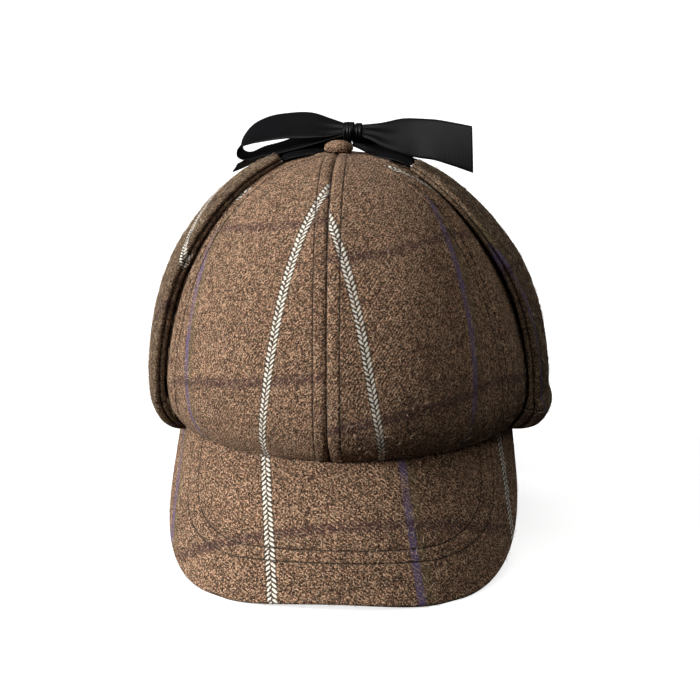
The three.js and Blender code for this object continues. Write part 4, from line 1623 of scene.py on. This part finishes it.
@dataclass
class WoolHairs:
    """Loose curly hairs that stand out of the cloth."""

    name: str
    slot: Slot
    seed: int
    per_area: float = 0.075
    shortest: float = 1.8
    longest: float = 5.6
    radius: float = 0.08

    def build(self, skins: list[Skin], material: bpy.types.Material) -> bpy.types.Object:
        """Makes the hairs on the outer skins.

        Args:
            skins: The skins that they grow on.
            material: The hairs' finish.

        Returns:
            One piece with all hairs.
        """
        rng = np.random.default_rng(self.seed)
        starts, ups, sides = [], [], []
        for skin in skins:
            grid = skin.points
            cell = np.linalg.norm(
                np.cross(grid[1:, :-1] - grid[:-1, :-1], grid[:-1, 1:] - grid[:-1, :-1]), axis=-1
            )
            count = int(cell.sum() * self.per_area)
            picked = rng.choice(cell.size, count, p=cell.ravel() / cell.sum())
            row, column = np.unravel_index(picked, cell.shape)
            a, b = rng.random((2, count, 1))
            low = grid[row, column] * (1 - a) + grid[row, column + 1] * a
            high = grid[row + 1, column] * (1 - a) + grid[row + 1, column + 1] * a
            starts.append(low * (1 - b) + high * b)
            normal = skin.normals()[row, column]
            ups.append(normal)
            sides.append(unit(grid[row, column + 1] - grid[row, column]))
        start, up, side = np.concatenate(starts), np.concatenate(ups), np.concatenate(sides)
        outward = np.sign((up * (start - start.mean(0))).sum(-1, keepdims=True))
        up = up * outward
        count = len(start)
        other = np.cross(up, side)
        heading = rng.uniform(0, math.tau, (count, 1))
        flat = side * np.cos(heading) + other * np.sin(heading)
        bend = np.cross(up, flat)
        length = rng.uniform(self.shortest, self.longest, (count, 1))
        lift = rng.uniform(0.05, 0.5, (count, 1)) ** 1.5
        curl = rng.uniform(-0.5, 0.5, (count, 1))
        spine = []
        for share in (0.0, 0.3, 0.62, 1.0):
            forward = length * share * (1 - 0.25 * share * np.abs(curl))
            rise = length * (lift * share * 1.6 - lift * share**2 * 1.3) + 0.04
            spine.append(start + flat * forward + bend * (curl * length * share**2) + up * rise)
        clear = np.min([place[:, 2] for place in spine], axis=0) > 2 * self.radius
        return self._tubes([place[clear] for place in spine], up[clear], material)

    def _tubes(
        self, spine: list[np.ndarray], up: np.ndarray, material: bpy.types.Material
    ) -> bpy.types.Object:
        """Makes three-sided tubes along the spines, pointed at both ends."""
        count = len(up)
        along = unit(spine[2] - spine[1])
        side = unit(np.cross(along, up))
        points = [spine[0]]
        for index, radius in ((1, self.radius), (2, self.radius * 0.85)):
            for turn in range(3):
                angle = math.tau * turn / 3
                points.append(spine[index] + (side * math.cos(angle) + up * math.sin(angle)) * radius)
        points.append(spine[3])
        places = np.stack(points, axis=1).reshape(-1, 3)
        pattern = []
        for turn in range(3):
            after = (turn + 1) % 3
            pattern.append((0, 1 + after, 1 + turn))
            pattern.append((1 + turn, 1 + after, 4 + after))
            pattern.append((1 + turn, 4 + after, 4 + turn))
            pattern.append((4 + turn, 4 + after, 7))
        faces = (np.array(pattern)[None] + 8 * np.arange(count)[:, None, None]).reshape(-1, 3)
        piece = make_mesh(self.name, places, [faces], np.zeros((len(places), 2)), {}, material)
        fit_to_hat(piece, self.slot)
        return piece


def skin_line(skin: Skin, fact: str, side: int) -> tuple[np.ndarray, np.ndarray]:
    """Line on a skin along which a fact is smallest, on one half of each row.

    Args:
        skin: The grid.
        fact: Name of the fact.
        side: -1 for the first half of the columns, 1 for the second.

    Returns:
        Points and normals along the line.
    """
    values = np.abs(skin.facts[fact])
    middle = values.shape[1] // 2
    part = values[:, :middle] if side < 0 else values[:, middle:]
    column = part.argmin(1) + (0 if side < 0 else middle)
    rows = np.arange(len(values))
    normals = skin.normals()[rows, column]
    points = skin.points[rows, column]
    centre = skin.points.reshape(-1, 3).mean(0)
    outward = points - np.array([0.0, 0.0, centre[2] - 60.0])
    normals = normals * np.sign((normals * outward).sum(-1, keepdims=True))
    return points, normals


# Camera, lights and floor


@dataclass
class Studio:
    """Camera, lights, floor and surroundings."""

    azimuth: float = 3.0
    elevation: float = 12.0
    distance: float = 0.8
    aim: tuple[float, float, float] = (0.0, 0.0, 0.11)
    sensor: float = 36.0
    pixel_focal: float = 1538.4615
    centre: tuple[float, float] = (348.6, 317.5)
    image: float = 700.0

    def build(self) -> None:
        """Makes everything round the hat."""
        self._camera()
        self._floor()
        self._world()
        self._sun("key", azimuth=-68.0, elevation=20.0, spread=16.0, strength=4.35)
        self._sun("top", azimuth=5.0, elevation=76.0, spread=40.0, strength=0.80)
        self._panel("front_panel", (0.18, -0.80, 0.92), 0.2, 1.1)
        bpy.context.scene.view_settings.view_transform = "Standard"

    def _camera(self) -> None:
        """Adds the camera at the photograph's angle."""
        data = bpy.data.cameras.new("camera")
        data.sensor_width = self.sensor
        data.lens = self.sensor * self.pixel_focal / self.image
        data.shift_x = (self.image / 2 - self.centre[0]) / self.image
        data.shift_y = (self.centre[1] - self.image / 2) / self.image
        data.clip_start, data.clip_end = 0.01, 50.0
        camera = bpy.data.objects.new("camera", data)
        bpy.context.scene.collection.objects.link(camera)
        turn, rise = math.radians(self.azimuth), math.radians(self.elevation)
        back = np.array([math.sin(turn) * math.cos(rise), -math.cos(turn) * math.cos(rise), math.sin(rise)])
        camera.location = tuple(np.array(self.aim) + back * self.distance)
        camera.rotation_euler = (math.pi / 2 - rise, 0.0, turn)
        bpy.context.scene.camera = camera

    def _floor(self) -> None:
        """Adds a pale floor that curves up far behind and gives no light back to the hat."""
        profile = [(-6.0, 0.0), (6.0, 0.0)]
        for step in range(1, 17):
            turn = math.pi / 2 * step / 16
            profile.append((6.0 + 2.0 * math.sin(turn), 2.0 - 2.0 * math.cos(turn)))
        profile.append((8.0, 9.0))
        points = [(x, y, z) for x in (-12.0, 12.0) for y, z in profile]
        count = len(profile)
        faces = [(k, count + k, count + k + 1, k + 1) for k in range(count - 1)]
        mesh = bpy.data.meshes.new("floor")
        mesh.from_pydata(points, [], faces)
        mesh.materials.append(StageFinish().build())
        mesh.polygons.foreach_set("use_smooth", np.ones(len(mesh.polygons), bool))
        floor = bpy.data.objects.new("floor", mesh)
        floor.visible_diffuse = False
        floor.visible_glossy = False
        bpy.context.scene.collection.objects.link(floor)

    def _world(self) -> None:
        """Sets even white surroundings."""
        world = bpy.data.worlds.new("surroundings")
        world.use_nodes = True
        background = world.node_tree.nodes["Background"]
        background.inputs["Color"].default_value = (1.0, 1.0, 1.0, 1.0)
        background.inputs["Strength"].default_value = 0.03
        bpy.context.scene.world = world

    def _sun(self, name: str, azimuth: float, elevation: float, spread: float, strength: float) -> None:
        """Adds an even light from far away.

        Args:
            name: Name of the light.
            azimuth: Where it stands, in degrees from the front.
            elevation: Its height, in degrees.
            spread: How wide it looks, in degrees.
            strength: Its strength.
        """
        data = bpy.data.lights.new(name, "SUN")
        data.angle = math.radians(spread)
        data.energy = strength
        light = bpy.data.objects.new(name, data)
        bpy.context.scene.collection.objects.link(light)
        light.rotation_euler = (math.radians(90 - elevation), 0.0, math.radians(azimuth))

    def _panel(self, name: str, place: tuple[float, float, float], size: float, power: float) -> None:
        """Adds a soft light that faces the hat.

        Args:
            name: Name of the light.
            place: Its place in metres.
            size: Side of its square face.
            power: Power in watts.
        """
        data = bpy.data.lights.new(name, "AREA")
        data.color = (1.0, 0.92, 0.84)
        data.size = size
        data.energy = power
        light = bpy.data.objects.new(name, data)
        bpy.context.scene.collection.objects.link(light)
        light.location = place
        aim = np.array(self.aim) - np.array(place)
        light.rotation_euler = (
            math.atan2(math.hypot(aim[0], aim[1]), -aim[2]),
            0.0,
            math.atan2(aim[1], aim[0]) - math.pi / 2,
        )


# The hat


def main() -> None:
    """Builds the hat and the studio round it."""
    Studio().build()
    tweed = TweedFinish().build()
    flap_tweed = TweedFinish(
        name="flap_wool_tweed",
        dark=(0.018, 0.010, 0.006),
        brown=(0.085, 0.050, 0.028),
        tan=(0.175, 0.108, 0.062),
        pale=(0.400, 0.275, 0.175),
        sheen=0.04,
    ).build()
    ribbon = RibbonFinish().build()
    thread = ThreadFinish("brown_thread", (0.060, 0.034, 0.020), (0.115, 0.070, 0.042)).build()
    hair = ThreadFinish("wool_hair", (0.95, 0.76, 0.54), (0.50, 0.32, 0.19), 120.0, 0.7).build()
    dome = Dome()
    crown_skins = Crown(dome=dome).build(tweed)
    peaks = [
        Peak("peak_front", -0.7, ClothCut(-36.4, 79.0, lean=0.133, slope=-0.1, stretch=0.9), dome),
        Peak("peak_back", 179.3, ClothCut(-20.0, 74.0, lean=-0.08, slope=0.06, stretch=0.9), dome),
    ]
    peak_skins = []
    for peak in peaks:
        piece, skin = peak.build(tweed)
        fit_to_hat(piece, Slot.TWEED, peak.name)
        peak_skins.append(skin)
    right = EarFlap("ear_flap_right", 92.0, 8.5, 2.4, 5.0, 0.4, ClothCut(18.0, 20.0), dome)
    left = EarFlap("ear_flap_left", 270.0, 5.5, 1.9, 0.5, 2.4, ClothCut(96.7, 35.0, -0.9, 0.9, 0.743), dome)
    flap_skins = []
    for flap in (right, left):
        piece, skin = flap.build(flap_tweed)
        fit_to_hat(piece, Slot.FLAP, flap.name)
        flap_skins.append(skin)
    Button(dome).build(tweed)
    Bow(right, left, dome).build(ribbon)
    crown_rows = StitchRows("crown_stitching", Slot.TWEED)
    for skin in crown_skins:
        for side in (-1, 1):
            points, normals = skin_line(skin, "row", side)
            keep = slice(0, int(len(points) * 0.93))
            crown_rows.add_line(points[keep], normals[keep])
    crown_rows.build(thread)
    WoolHairs("crown_hairs", Slot.TWEED, 11).build(crown_skins, hair)
    WoolHairs("peak_hairs", Slot.TWEED, 12).build(peak_skins, hair)
    WoolHairs("flap_hairs", Slot.FLAP, 13).build(flap_skins, hair)


if __name__ == "__main__":
    logging.basicConfig(level=logging.INFO, format="%(message)s")
    main()
